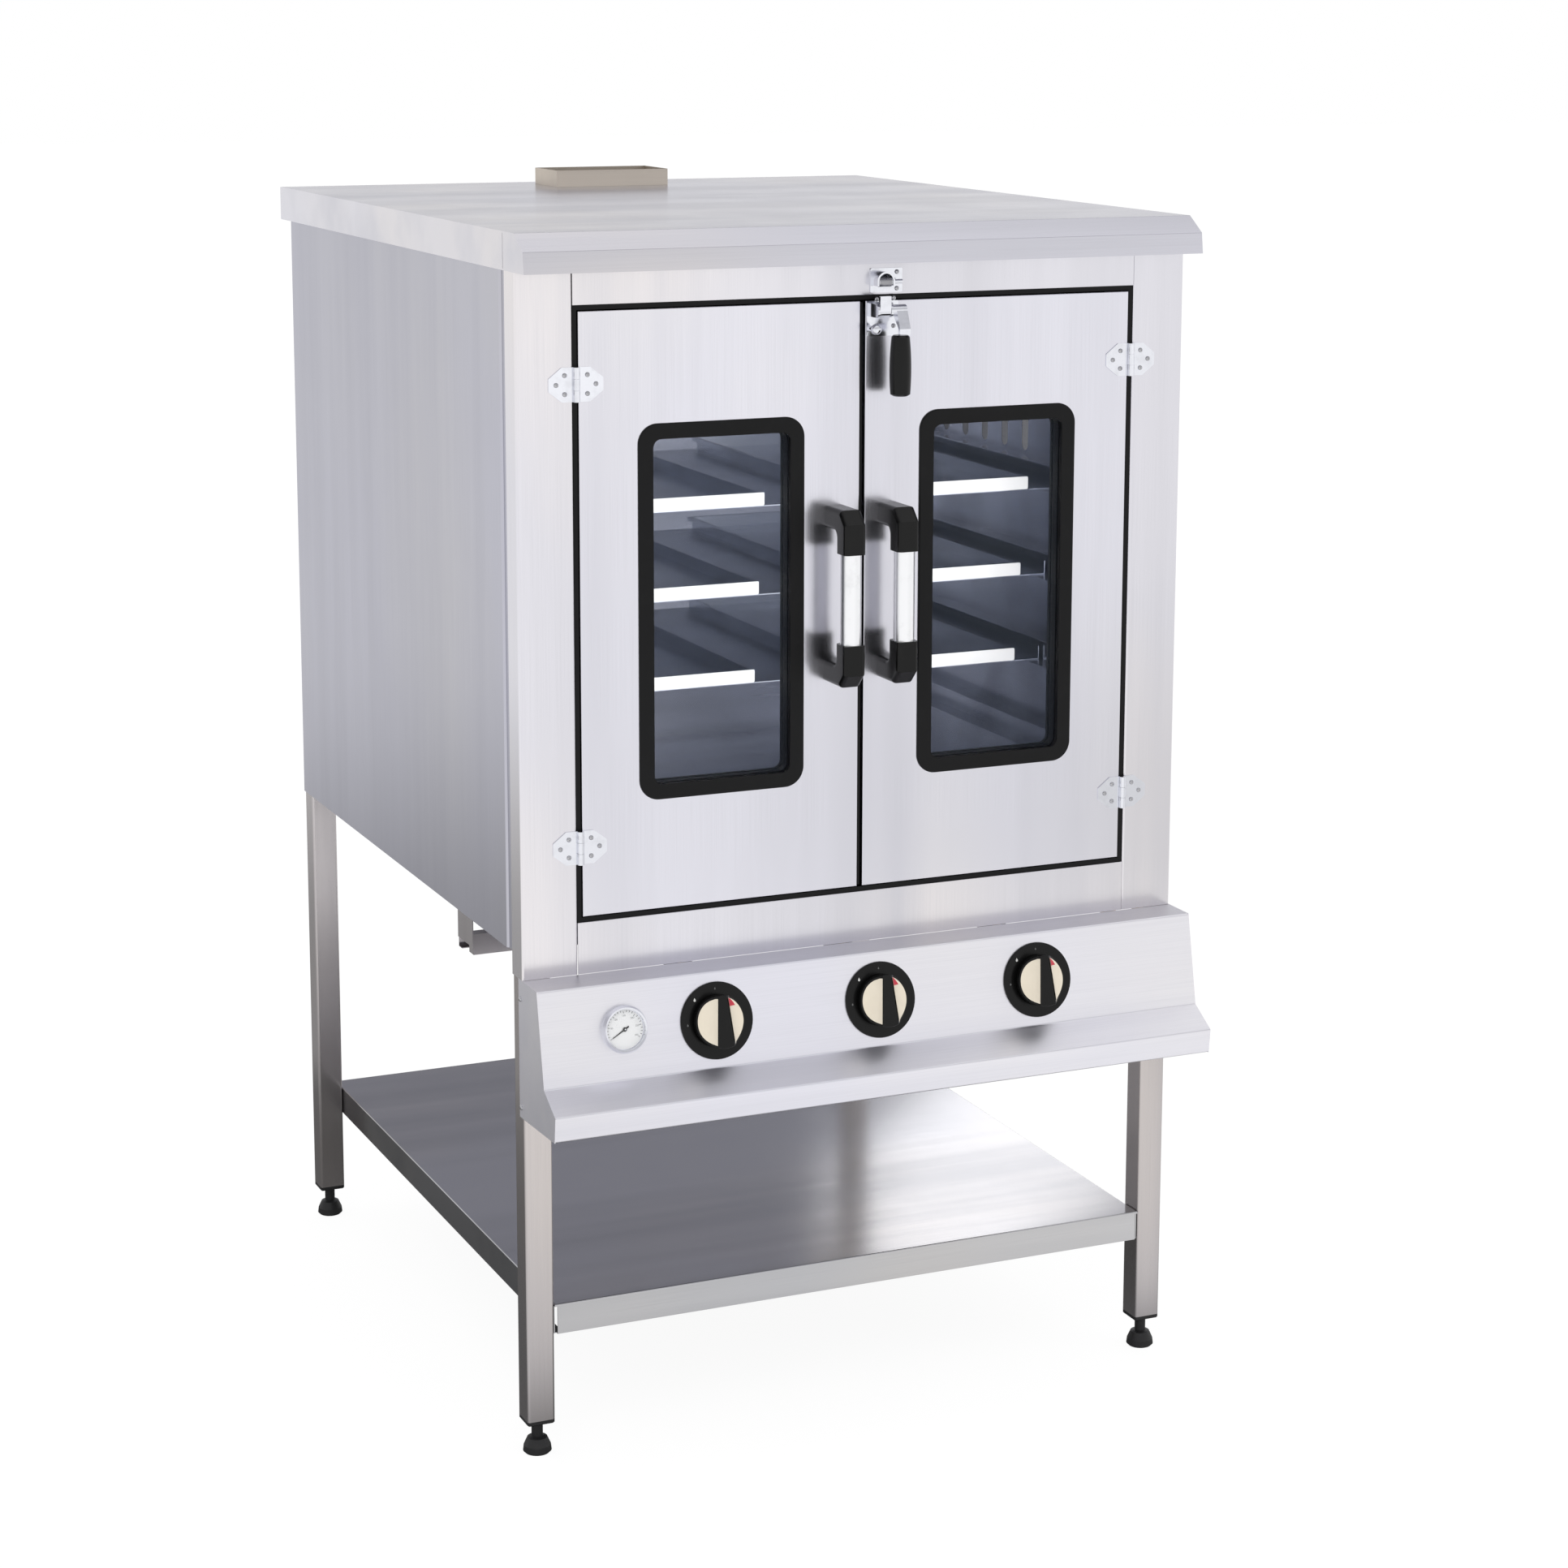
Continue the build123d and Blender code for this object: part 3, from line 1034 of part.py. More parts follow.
def burner(x):
    """Tube burner with a closed end and a row of slots along its top."""
    z = burner_axis_z()
    start = FRONT + BURNER_START + FIT
    length = BURNER_END - BURNER_START
    radius = BURNER_DIAMETER / 2
    tube = Pos(x, start + length / 2, z) * Rot(90, 0, 0) * Cylinder(radius, length)
    tube -= Pos(x, start + (length - BURNER_WALL) / 2 - 1, z) * Rot(90, 0, 0) * Cylinder(
        radius - BURNER_WALL, length - BURNER_WALL + 2)
    width, slit = BURNER_PORT
    pitch = (length - BURNER_PORTS_START - BURNER_PORTS_END) / (BURNER_PORTS - 1)
    for number in range(BURNER_PORTS):
        tube -= Pos(x, start + BURNER_PORTS_START + number * pitch, z + radius) * Box(width, slit, radius)
    hanger_y = FRONT + BURNER_END - BURNER_HANGER_GAP
    hanger = block(
        (x - BURNER_HANGER / 2, x + BURNER_HANGER / 2), (hanger_y, hanger_y + SHEET),
        (z + radius - BURNER_WALL, BODY_BOTTOM))
    return tube + hanger


def burner_trough():
    """Cross frame under the body: two hanging end plates, a front channel and a rear angle."""
    y = (FRONT + TROUGH_FRONT, FRONT + TROUGH_REAR)
    top = TROUGH_BOTTOM + TROUGH_FRONT_HEIGHT
    end = block((TROUGH_END - SHEET, TROUGH_END), y, (TROUGH_BOTTOM + TROUGH_END_RISE, BODY_BOTTOM))
    end += block((TROUGH_END - PANEL_RETURN, TROUGH_END), y, (BODY_BOTTOM - SHEET, BODY_BOTTOM))
    inner = TROUGH_END - SHEET
    front = pan((-inner, inner), (y[0], y[0] + TROUGH_FRONT_DEPTH), (TROUGH_BOTTOM, top), (1, 1), SHEET)
    foot = TROUGH_BOTTOM - TROUGH_REAR_DROP
    rear = block((-inner, inner), (y[1] - SHEET, y[1]), (foot, foot + TROUGH_REAR_ANGLE))
    rear += block((-inner, inner), (y[1] - TROUGH_REAR_ANGLE, y[1]), (foot, foot + SHEET))
    return [*both_sides(end), front, rear]


# Write every node

for corner_name in CORNERS:
    save(f"leg_{corner_name}", leg(corner_name))
    save(f"levelling_foot_{corner_name}", levelling_foot(corner_name))
save("leg_sockets", *[leg_socket(corner_name) for corner_name in CORNERS])
save("undershelf", *undershelf())

save("side_panels", *both_sides(side_panel()))
save("rear_panel", rear_panel())
save("base_panel", base_panel())
save("front_stiles", *both_sides(front_stile()))
save("front_rails", *front_rails())
save("top_lid", top_lid())
save("flue_collar", flue_collar())

save("chamber_liner", *chamber_liner())
save("tray_runners", *[side for level in range(RUNNER_LEVELS) for side in both_sides(tray_runner(level))])
save("insulation", *insulation())
for tray_number, tray_name in enumerate(TRAY_SETBACKS, start=1):
    save(tray_name, *tray_level(tray_number, TRAY_SETBACKS[tray_name]))

DOOR_PIECES = {
    "door_skin": [door_skin()],
    "door_liner": [door_liner()],
    "window_gasket": [window_gasket()],
    "window_glass": window_panes(),
    "handle_ends": handle_ends(),
    "handle_tube": [handle_tube()],
    "hinge_door_leaves": [hinge_leaf(height, -1, "middle") for height in HINGE_HEIGHTS],
}
for piece_name, piece in DOOR_PIECES.items():
    save(f"{piece_name}_right", *piece)
    save(f"{piece_name}_left", *[mirror(solid, about=Plane.YZ) for solid in piece])
frame_leaves = [hinge_leaf(height, 1, "outer") for height in HINGE_HEIGHTS]
save("hinge_frame_leaves", *[side for leaf in frame_leaves for side in both_sides(leaf)])
save("door_frame_seal", *door_frame_seal())
save("door_centre_seal", door_centre_seal())

save("latch_body", latch_body())
save("latch_lever", latch_lever())
save("latch_grip", latch_grip())
save("latch_keeper", latch_keeper())

save("control_panel", control_panel())
save("console_ends", *both_sides(console_end()))
save("knob_bezels", *[knob_bezel(x) for x in KNOB_POSITIONS.values()])
for knob_name, knob_x in KNOB_POSITIONS.items():
    save(f"knob_spindle_{knob_name}", knob_spindle(knob_x))
    save(f"knob_{knob_name}", knob(knob_x))
save("thermometer_case", thermometer_case())
save("thermometer_lens", thermometer_lens())
save("thermometer_needle", thermometer_needle())

save("gas_rail", *gas_rail())
save("burners", *[burner(x) for x in KNOB_POSITIONS.values()])
save("burner_trough", *burner_trough())
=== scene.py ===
import logging
import math
from dataclasses import dataclass, field
from enum import Enum
from typing import Any, Iterable, Sequence

import bmesh
import bpy
from mathutils import Matrix, Vector

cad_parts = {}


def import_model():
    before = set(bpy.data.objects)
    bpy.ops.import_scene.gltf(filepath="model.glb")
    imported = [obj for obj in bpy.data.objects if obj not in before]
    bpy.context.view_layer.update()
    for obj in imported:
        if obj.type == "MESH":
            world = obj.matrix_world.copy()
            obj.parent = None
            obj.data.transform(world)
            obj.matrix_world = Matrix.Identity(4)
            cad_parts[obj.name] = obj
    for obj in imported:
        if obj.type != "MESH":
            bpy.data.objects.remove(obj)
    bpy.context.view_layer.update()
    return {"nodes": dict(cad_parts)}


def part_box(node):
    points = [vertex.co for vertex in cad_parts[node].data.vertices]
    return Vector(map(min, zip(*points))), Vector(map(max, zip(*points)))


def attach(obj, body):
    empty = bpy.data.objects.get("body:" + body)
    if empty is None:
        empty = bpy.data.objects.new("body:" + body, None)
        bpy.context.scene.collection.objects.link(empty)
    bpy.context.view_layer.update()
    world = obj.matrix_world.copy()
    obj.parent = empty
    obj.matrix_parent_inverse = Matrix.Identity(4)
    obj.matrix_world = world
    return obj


LOG = logging.getLogger("pastry_oven")
MM = 0.001
DRESSED = "_finish"
DIRECTION = "facing"
SCREW_SEED = 7
KNOB_PITCH = 246 * MM
SIDES = ((-1, "left"), (1, "right"))
FORWARD = (0.0, -1.0, 0.0)
Colour = tuple[float, float, float]
Point = tuple[float, float, float]
Paint = Colour | bpy.types.NodeSocket


# Shader and geometry trees


class Value:
    """A number socket in a node tree, which Python's operators extend with Math nodes."""

    def __init__(self, tree: "Tree", socket: bpy.types.NodeSocket) -> None:
        """Wraps a socket.

        Args:
            tree: the tree that the socket belongs to.
            socket: an output socket that carries a number.
        """
        self.tree = tree
        self.socket = socket

    def _math(self, operation: str, first: "Number", second: "Number") -> "Value":
        """Adds one Math node.

        Args:
            operation: the Math node's operation.
            first: its first input.
            second: its second input.

        Returns:
            The node's result.
        """
        return self.tree.value("Math", {"operation": operation}, {0: first, 1: second})

    def __add__(self, other: "Number") -> "Value":
        """Adds a number or a value."""
        return self._math("ADD", self, other)

    def __radd__(self, other: "Number") -> "Value":
        """Adds to a number."""
        return self._math("ADD", other, self)

    def __sub__(self, other: "Number") -> "Value":
        """Subtracts a number or a value."""
        return self._math("SUBTRACT", self, other)

    def __rsub__(self, other: "Number") -> "Value":
        """Subtracts from a number, as in 1 - mask."""
        return self._math("SUBTRACT", other, self)

    def __mul__(self, other: "Number") -> "Value":
        """Multiplies by a number or a value."""
        return self._math("MULTIPLY", self, other)

    def __rmul__(self, other: "Number") -> "Value":
        """Multiplies a number."""
        return self._math("MULTIPLY", other, self)

    def __truediv__(self, other: "Number") -> "Value":
        """Divides by a number or a value."""
        return self._math("DIVIDE", self, other)

    def __rtruediv__(self, other: "Number") -> "Value":
        """Divides a number."""
        return self._math("DIVIDE", other, self)


Number = float | Value


class Tree:
    """A node tree under construction, for a material, the world or a geometry group."""

    PREFIX = "ShaderNode"

    def __init__(self, tree: bpy.types.NodeTree) -> None:
        """Empties a tree and takes it over.

        Args:
            tree: the tree to build in.
        """
        self.tree = tree
        self.tree.nodes.clear()

    def node(self, kind: str, settings: dict[str, Any] | None = None,
             inputs: dict[int | str, Any] | None = None) -> bpy.types.Node:
        """Adds a node: its settings first, then the values or links of its sockets.

        Args:
            kind: the node's type, with or without its prefix.
            settings: the node's own properties; "stops" holds a colour ramp's stops.
            inputs: a value, a Value or an output socket for each input socket.

        Returns:
            The new node.
        """
        full = kind if "Node" in kind else self.PREFIX + kind
        node = self.tree.nodes.new(full)
        for name, setting in (settings or {}).items():
            if name == "stops":
                self._set_stops(node, setting)
            else:
                setattr(node, name, setting)
        for name, given in (inputs or {}).items():
            socket = node.inputs[name]
            if isinstance(given, Value):
                given = given.socket
            if isinstance(given, bpy.types.NodeSocket):
                self.tree.links.new(given, socket)
            else:
                socket.default_value = given
        return node

    @staticmethod
    def _set_stops(node: bpy.types.Node, stops: Sequence[tuple[float, Sequence[float]]]) -> None:
        """Fills a colour ramp.

        Args:
            node: the ramp's node.
            stops: a place and a colour for each stop.
        """
        ramp = node.color_ramp
        while len(ramp.elements) > len(stops):
            ramp.elements.remove(ramp.elements[-1])
        while len(ramp.elements) < len(stops):
            ramp.elements.new(1.0)
        for element, (place, colour) in zip(ramp.elements, stops):
            element.position = place
            element.color = (*colour, 1.0)

    def value(self, kind: str, settings: dict[str, Any] | None = None,
              inputs: dict[int | str, Any] | None = None, output: int | str = 0) -> Value:
        """Adds a node and wraps one of its outputs.

        Args:
            kind: the node's type.
            settings: the node's own properties.
            inputs: values or links of its sockets.
            output: the output to wrap.

        Returns:
            The wrapped output.
        """
        return Value(self, self.node(kind, settings, inputs).outputs[output])

    def clamped(self, number: Value) -> Value:
        """A value kept between 0 and 1."""
        return self.value("Clamp", None, {0: number})

    def above(self, number: Value, start: float, gain: float) -> Value:
        """How far a value lies above a start, times a gain, kept between 0 and 1."""
        return self.clamped((number - start) * gain)

    def blend(self, factor: Number, first: Paint, second: Paint) -> bpy.types.NodeSocket:
        """Mixes two colours.

        Args:
            factor: 0 for the first, 1 for the second.
            first: a colour or a colour socket.
            second: a colour or a colour socket.

        Returns:
            The mixed colour's socket.
        """
        given = [(*c, 1.0) if isinstance(c, tuple) else c for c in (first, second)]
        return self.node("Mix", {"data_type": "RGBA"}, {0: factor, 6: given[0], 7: given[1]}).outputs[2]

    def rays(self) -> tuple[Value, Value]:
        """Tells rays apart, for what has to look white behind the oven.

        Returns:
            1 where the eye looks, straight, in metal or through glass, and 1 where it looks in metal.
        """
        path = self.node("LightPath")
        camera, glossy, through = (
            Value(self, path.outputs[f"Is {kind} Ray"]) for kind in ("Camera", "Glossy", "Transmission"))
        return self.clamped(camera + glossy + through), glossy


class Material(Tree):
    """A material's tree around one Principled shader."""

    def __init__(self, name: str) -> None:
        """Makes an empty material.

        Args:
            name: the material's name.
        """
        self.material = bpy.data.materials.new(name + DRESSED)
        self.material.use_nodes = True
        super().__init__(self.material.node_tree)
        self.coordinates = self.node("TexCoord").outputs["Object"]

    def noise(self, scale: Point, detail: float = 2.0, rough: float = 0.5) -> Value:
        """Noise from 0 to 1 over the object's coordinates, with its own scale along each axis.

        Args:
            scale: repeats for each metre along X, Y and Z.
            detail: octaves of finer noise.
            rough: how strong the finer octaves are.

        Returns:
            The noise.
        """
        place = self.node("VectorMath", {"operation": "MULTIPLY"}, {0: self.coordinates, 1: scale}).outputs[0]
        return self.value("TexNoise", None, {"Vector": place, "Scale": 1.0, "Detail": detail, "Roughness": rough})

    def bump(self, height: Value, distance: float, strength: float = 1.0) -> bpy.types.NodeSocket:
        """A Bump node's normal.

        Args:
            height: the relief, from 0 to 1.
            distance: its depth in metres.
            strength: its share.

        Returns:
            The normal's socket.
        """
        inputs = {"Height": height, "Distance": distance, "Strength": strength}
        return self.node("Bump", None, inputs).outputs["Normal"]

    def surface(self, inputs: dict[str, Any]) -> bpy.types.Material:
        """Closes the tree with a Principled shader.

        Args:
            inputs: the shader's sockets.

        Returns:
            The finished material.
        """
        given = {k: (*v, 1.0) if isinstance(v, tuple) and len(v) == 3 else v for k, v in inputs.items()}
        shader = self.node("BsdfPrincipled", None, given)
        self.node("OutputMaterial", None, {"Surface": shader.outputs[0]})
        return self.material


# Finishes


def toned(colour: Colour, share: float) -> Colour:
    """A colour at a share of its level."""
    return tuple(share * c for c in colour)


class Grain(Enum):
    """The way that a sheet's brushing runs, as noise repeats for each metre along X, Y and Z."""

    ACROSS = (5.0, 900.0, 900.0)
    UPRIGHT = (900.0, 900.0, 5.0)
    DEEP = (900.0, 5.0, 900.0)

    @property
    def bands(self) -> Point:
        """The much broader streaks of rolling and polishing, which run the same way."""
        return tuple(0.35 if repeats < 100.0 else 7.0 for repeats in self.value)


@dataclass(frozen=True)
class BrushedSteel:
    """Stainless sheet or tube with fine brushing and faint handling marks."""

    name: str
    cool: Colour
    warm: Colour
    roughness: float = 0.24
    grain: Grain = Grain.ACROSS
    depth: float = 0.00002
    drift: float = 0.18
    glance: float = 0.8

    def build(self) -> bpy.types.Material:
        """Makes the material."""
        tree = Material(self.name)
        lines = tree.noise(self.grain.value, 3.0, 0.6)
        bands = tree.noise(self.grain.bands, 3.0, 0.55)
        clouds = tree.noise((1.7, 1.7, 1.1), 2.0, 0.45)
        smears = tree.noise((9.0,) * 3, 4.0, 0.55)
        sheet = tree.blend(tree.above(clouds, 0.45, 4.0), self.cool, self.warm)
        streaked = tree.blend(tree.above(bands, 0.42, 3.2), sheet, toned(self.cool, 1.0 - self.drift))
        colour = tree.blend(tree.above(lines, 0.42, 1.6) * 0.28, streaked, toned(self.cool, 0.72))
        polish = self.roughness - 0.06 + lines * 0.08 + bands * 0.05 + (smears - 0.5) * 0.07
        return tree.surface({
            "Base Color": colour, "Metallic": 1.0, "Roughness": polish, "Specular Tint": (self.glance,) * 3,
            "Normal": tree.bump(lines, self.depth, 0.6)})


@dataclass(frozen=True)
class Polished:
    """Bright plated or turned metal."""

    name: str
    colour: Colour
    roughness: float = 0.09
    haze: float = 0.06

    def build(self) -> bpy.types.Material:
        """Makes the material."""
        tree = Material(self.name)
        marks = tree.noise((60.0,) * 3, 4.0, 0.6)
        fine = tree.noise((700.0,) * 3, 2.0, 0.5)
        colour = tree.blend(tree.above(marks, 0.5, 2.2), self.colour, toned(self.colour, 0.82))
        return tree.surface({
            "Base Color": colour, "Metallic": 1.0, "Roughness": self.roughness + marks * self.haze,
            "Normal": tree.bump(fine, 0.00001, 0.4)})


@dataclass(frozen=True)
class Moulded:
    """Moulded plastic or rubber with a fine grain and a scuffed sheen."""

    name: str
    colour: Colour
    worn: Colour
    roughness: float = 0.3
    grain: float = 1400.0
    relief: float = 0.00002
    coat: float = 0.0
    sheen: float = 0.4

    def build(self) -> bpy.types.Material:
        """Makes the material."""
        tree = Material(self.name)
        grain = tree.noise((self.grain,) * 3, 2.0, 0.6)
        worn = tree.above(tree.noise((38.0,) * 3, 5.0, 0.62), 0.52, 2.4)
        return tree.surface({
            "Base Color": tree.blend(worn * 0.6, self.colour, self.worn),
            "Roughness": self.roughness + worn * 0.12 + grain * 0.05, "Coat Weight": self.coat,
            "Coat Roughness": 0.12, "Specular IOR Level": self.sheen, "Normal": tree.bump(grain, self.relief, 0.5)})


@dataclass(frozen=True)
class Pane:
    """Glass that lets light through, with a faint body colour."""

    name: str
    colour: Colour
    body: float = 0.16
    roughness: float = 0.04

    def build(self) -> bpy.types.Material:
        """Makes the material."""
        tree = Material(self.name)
        film = tree.noise((5.0, 5.0, 3.0), 4.0, 0.6)
        material = tree.surface({
            "Base Color": tree.blend(film, self.colour, toned(self.colour, 0.7)),
            "Roughness": self.roughness + film * 0.03, "Alpha": self.body + film * 0.03,
            "Specular IOR Level": 0.6})
        material.surface_render_method = "BLENDED"
        return material


@dataclass(frozen=True)
class Wool:
    """Mineral wool, loose and fibrous."""

    name: str
    colour: Colour

    def build(self) -> bpy.types.Material:
        """Makes the material."""
        tree = Material(self.name)
        fibre = tree.noise((90.0, 90.0, 420.0), 6.0, 0.7)
        return tree.surface({
            "Base Color": tree.blend(fibre, self.colour, toned(self.colour, 0.6)),
            "Roughness": 0.9, "Normal": tree.bump(fibre, 0.003, 0.9)})


class Finish(Enum):
    """Every finish on the oven: the record's slot, and how it is made."""

    STAND = ("stand_steel", BrushedSteel("stand_steel", (0.58, 0.55, 0.56), (0.66, 0.60, 0.56), 0.24, Grain.UPRIGHT))
    SHELF = ("stand_steel", BrushedSteel("shelf_steel", (0.58, 0.58, 0.60), (0.64, 0.62, 0.61), 0.18, glance=0.6))
    # FRONT, FRAME, SIDE, LID and CONSOLE are one casing steel in one slot; their different levels are painted light and
    # shade: the side panels darker as the shaded side, the console's face lighter as the lit face, and the lid set to
    # the level of the light on it.
    FRONT = ("casing_steel", BrushedSteel(
        "front_steel", (0.77, 0.765, 0.83), (0.82, 0.80, 0.81), 0.21, Grain.UPRIGHT, drift=0.1))
    FRAME = ("casing_steel", BrushedSteel(
        "frame_steel", (0.77, 0.76, 0.81), (0.89, 0.84, 0.82), 0.22, Grain.UPRIGHT, drift=0.12))
    SIDE = ("casing_steel", BrushedSteel(
        "side_steel_painted_shade", (0.54, 0.54, 0.61), (0.56, 0.555, 0.59), 0.33, Grain.UPRIGHT, drift=0.1))
    LID = ("casing_steel", BrushedSteel(
        "lid_steel", (0.68, 0.675, 0.735), (0.73, 0.70, 0.70), 0.24, drift=0.12, glance=0.95))
    CONSOLE = ("casing_steel", BrushedSteel("console_steel_painted_light", (0.85, 0.845, 0.915), (0.89, 0.875, 0.89), 0.4, drift=0.1))
    FLUE = ("flue_steel", BrushedSteel("flue_steel", (0.60, 0.54, 0.47), (0.70, 0.60, 0.50), 0.36))
    LINER = ("liner_steel", BrushedSteel("liner_steel", (0.58, 0.60, 0.68), (0.66, 0.67, 0.71), 0.24, drift=0.4))
    TRAY = ("tray_metal", BrushedSteel("tray_metal", (0.55, 0.58, 0.66), (0.66, 0.67, 0.70), 0.24, drift=0.3))
    # Near-white and not metal: a painted highlight on the steel trays' rolled fronts, which catch the light.
    LIP = ("tray_metal", Moulded("tray_lip_painted_highlight", (0.93, 0.93, 0.93), (0.88, 0.88, 0.89), 0.35, 500.0))
    CHROME = ("bright_chrome", Polished("bright_chrome", (0.8, 0.81, 0.86), 0.12))
    SATIN_TUBE = ("bright_chrome", Polished("bright_tube", (0.95, 0.955, 0.97), 0.3, 0.06))
    SPINDLE = ("spindle_steel", Polished("spindle_steel", (0.5, 0.5, 0.52), 0.25))
    BLACK = ("black_plastic", Moulded(
        "black_plastic", (0.004, 0.004, 0.004), (0.012, 0.011, 0.01), 0.2, coat=0.06, sheen=0.2))
    FOOT = ("foot_plastic", Moulded("foot_plastic", (0.015, 0.015, 0.016), (0.05, 0.048, 0.045), 0.42, relief=0.00004))
    RUBBER = ("black_rubber", Moulded(
        "black_rubber", (0.004, 0.004, 0.0045), (0.012, 0.012, 0.013), 0.45, relief=0.00005, sheen=0.2))
    WINDOW = ("window_glass", Pane("window_glass", (0.10, 0.13, 0.18), 0.025))
    GAUGE = ("gauge_glass", Pane("gauge_glass", (0.9, 0.91, 0.92), 0.02, 0.02))
    NEEDLE = ("needle_black", Moulded("needle_black", (0.015, 0.015, 0.015), (0.03, 0.03, 0.03), 0.4))
    PRINT = ("needle_black", Moulded("dial_print", (0.22, 0.22, 0.23), (0.3, 0.3, 0.3), 0.5))
    WOOL = ("insulation_wool", Wool("insulation_wool", (0.58, 0.57, 0.58)))
    BURNER = ("burner_steel", BrushedSteel("burner_steel", (0.22, 0.2, 0.19), (0.3, 0.22, 0.16), 0.5, Grain.DEEP))
    BRASS = ("gas_brass", Polished("gas_brass", (0.72, 0.55, 0.28), 0.3, 0.2))
    CREAM = ("knob_cream", Moulded("knob_cream", (0.88, 0.80, 0.66), (0.78, 0.70, 0.57), 0.3, 900.0))
    RED = ("mark_red", Moulded("mark_red", (0.62, 0.03, 0.06), (0.5, 0.03, 0.05), 0.4))
    DIAL = ("dial_white", Moulded("dial_white", (0.95, 0.955, 0.96), (0.9, 0.9, 0.9), 0.45))
    MARK = ("mark_white", Moulded("mark_white", (0.78, 0.78, 0.76), (0.6, 0.6, 0.58), 0.5))
    # The same white marks as MARK, in the same slot, set dark grey where they look faint: painted shade.
    FAINT = ("mark_white", Moulded("mark_white_painted_shade", (0.16, 0.16, 0.16), (0.12, 0.12, 0.12), 0.5))
    # A dark copy of the bright chrome slot on the keeper's roller: a painted dark reflection.
    ROLLER = ("bright_chrome", Polished("roller_chrome_painted_reflection", (0.36, 0.36, 0.38), 0.24))
    SCREW = ("screw_steel", Polished("screw_steel", (0.5, 0.5, 0.52), 0.22, 0.1))

    @property
    def slot(self) -> str:
        """The record's material slot."""
        return self.value[0]

    def material(self) -> bpy.types.Material:
        """The material, made once."""
        recipe = self.value[1]
        return bpy.data.materials.get(recipe.name + DRESSED) or recipe.build()


def each(stem: str, endings: Sequence[str] = ("left", "right")) -> tuple[str, ...]:
    """A row of names with the same beginning."""
    return tuple(f"{stem}_{ending}" for ending in endings)


CORNERS = (*each("front"), *each("rear"))
KNOBS = ("left", "middle", "right")
LEVELS = ("top", "middle", "bottom")
NODE_FINISHES: dict[Finish, tuple[str, ...]] = {
    Finish.STAND: (*each("leg", CORNERS), "burner_trough"),
    Finish.SHELF: ("undershelf",),
    Finish.FRONT: each("door_skin"),
    Finish.FRAME: ("front_stiles", "front_rails"),
    Finish.SIDE: ("side_panels", "rear_panel", "base_panel"),
    Finish.LID: ("top_lid",),
    Finish.CONSOLE: ("control_panel", "console_ends"),
    Finish.FLUE: ("flue_collar",),
    Finish.LINER: ("chamber_liner", "tray_runners", *each("door_liner")),
    Finish.TRAY: each("tray", LEVELS),
    Finish.CHROME: (
        *each("hinge_door_leaves"), "hinge_frame_leaves", "latch_body", "latch_lever", "latch_keeper",
        "thermometer_case"),
    Finish.SATIN_TUBE: each("handle_tube"),
    Finish.SPINDLE: each("knob_spindle", KNOBS),
    Finish.BLACK: (*each("handle_ends"), "latch_grip", "knob_bezels", *each("knob", KNOBS)),
    Finish.FOOT: ("leg_sockets", *each("levelling_foot", CORNERS)),
    Finish.RUBBER: (*each("window_gasket"), "door_frame_seal", "door_centre_seal"),
    Finish.WINDOW: each("window_glass"),
    Finish.GAUGE: ("thermometer_lens",),
    Finish.NEEDLE: ("thermometer_needle",),
    Finish.WOOL: ("insulation",),
    Finish.BURNER: ("burners",),
    Finish.BRASS: ("gas_rail",),
}


def dress_nodes(nodes: dict[str, bpy.types.Object]) -> None:
    """Gives every CAD node its finish.

    Args:
        nodes: the frame's nodes by name.
    """
    for finish, names in NODE_FINISHES.items():
        for name in names:
            mesh = nodes[name].data
            mesh.materials.clear()
            mesh.materials.append(finish.material())
        LOG.info("finish %s on %d nodes", finish.name.lower(), len(names))


# Mesh helpers


def linked(name: str, data: bpy.types.ID) -> bpy.types.Object:
    """A new object in the scene that holds some data."""
    made = bpy.data.objects.new(name, data)
    bpy.context.scene.collection.objects.link(made)
    return made


def evaluated_mesh(carrier: bpy.types.Object) -> bpy.types.Mesh:
    """A plain mesh of what an object shows."""
    carrier.update_tag()
    depsgraph = bpy.context.evaluated_depsgraph_get()
    depsgraph.update()
    return bpy.data.meshes.new_from_object(carrier.evaluated_get(depsgraph))


def directed_points(name: str, spots: Iterable[tuple[Point, Point]]) -> bpy.types.Object:
    """Loose points that each carry a direction, for a geometry group to set copies on.

    Args:
        name: the carrier's name.
        spots: the place and the direction of each point.

    Returns:
        The carrier.
    """
    places, directions = zip(*spots)
    mesh = bpy.data.meshes.new(name)
    mesh.from_pydata(list(places), [], [])
    attribute = mesh.attributes.new(DIRECTION, "FLOAT_VECTOR", "POINT")
    attribute.data.foreach_set("vector", [c for direction in directions for c in direction])
    return linked(name, mesh)


def object_from(name: str, build: bmesh.types.BMesh, place: Matrix | None = None) -> bpy.types.Object:
    """Turns a built mesh into an object at the origin.

    Args:
        name: the object's name.
        build: the mesh, which is freed.
        place: where the mesh goes in the oven's frame.

    Returns:
        The new object, linked to the scene.
    """
    if place is not None:
        bmesh.ops.transform(build, matrix=place, verts=build.verts)
    bmesh.ops.remove_doubles(build, verts=build.verts, dist=1e-7)
    bmesh.ops.recalc_face_normals(build, faces=build.faces)
    mesh = bpy.data.meshes.new(name)
    build.to_mesh(mesh)
    build.free()
    return linked(name, mesh)


def raised(build: bmesh.types.BMesh, height: float) -> bmesh.types.BMesh:
    """Gives a sheet of faces a thickness along Z.

    Args:
        build: the sheet, which becomes the underside.
        height: the thickness.

    Returns:
        The same mesh.
    """
    region = bmesh.ops.extrude_face_region(build, geom=list(build.faces))["geom"]
    top = [v for v in region if isinstance(v, bmesh.types.BMVert)]
    bmesh.ops.translate(build, vec=(0.0, 0.0, height), verts=top)
    return build


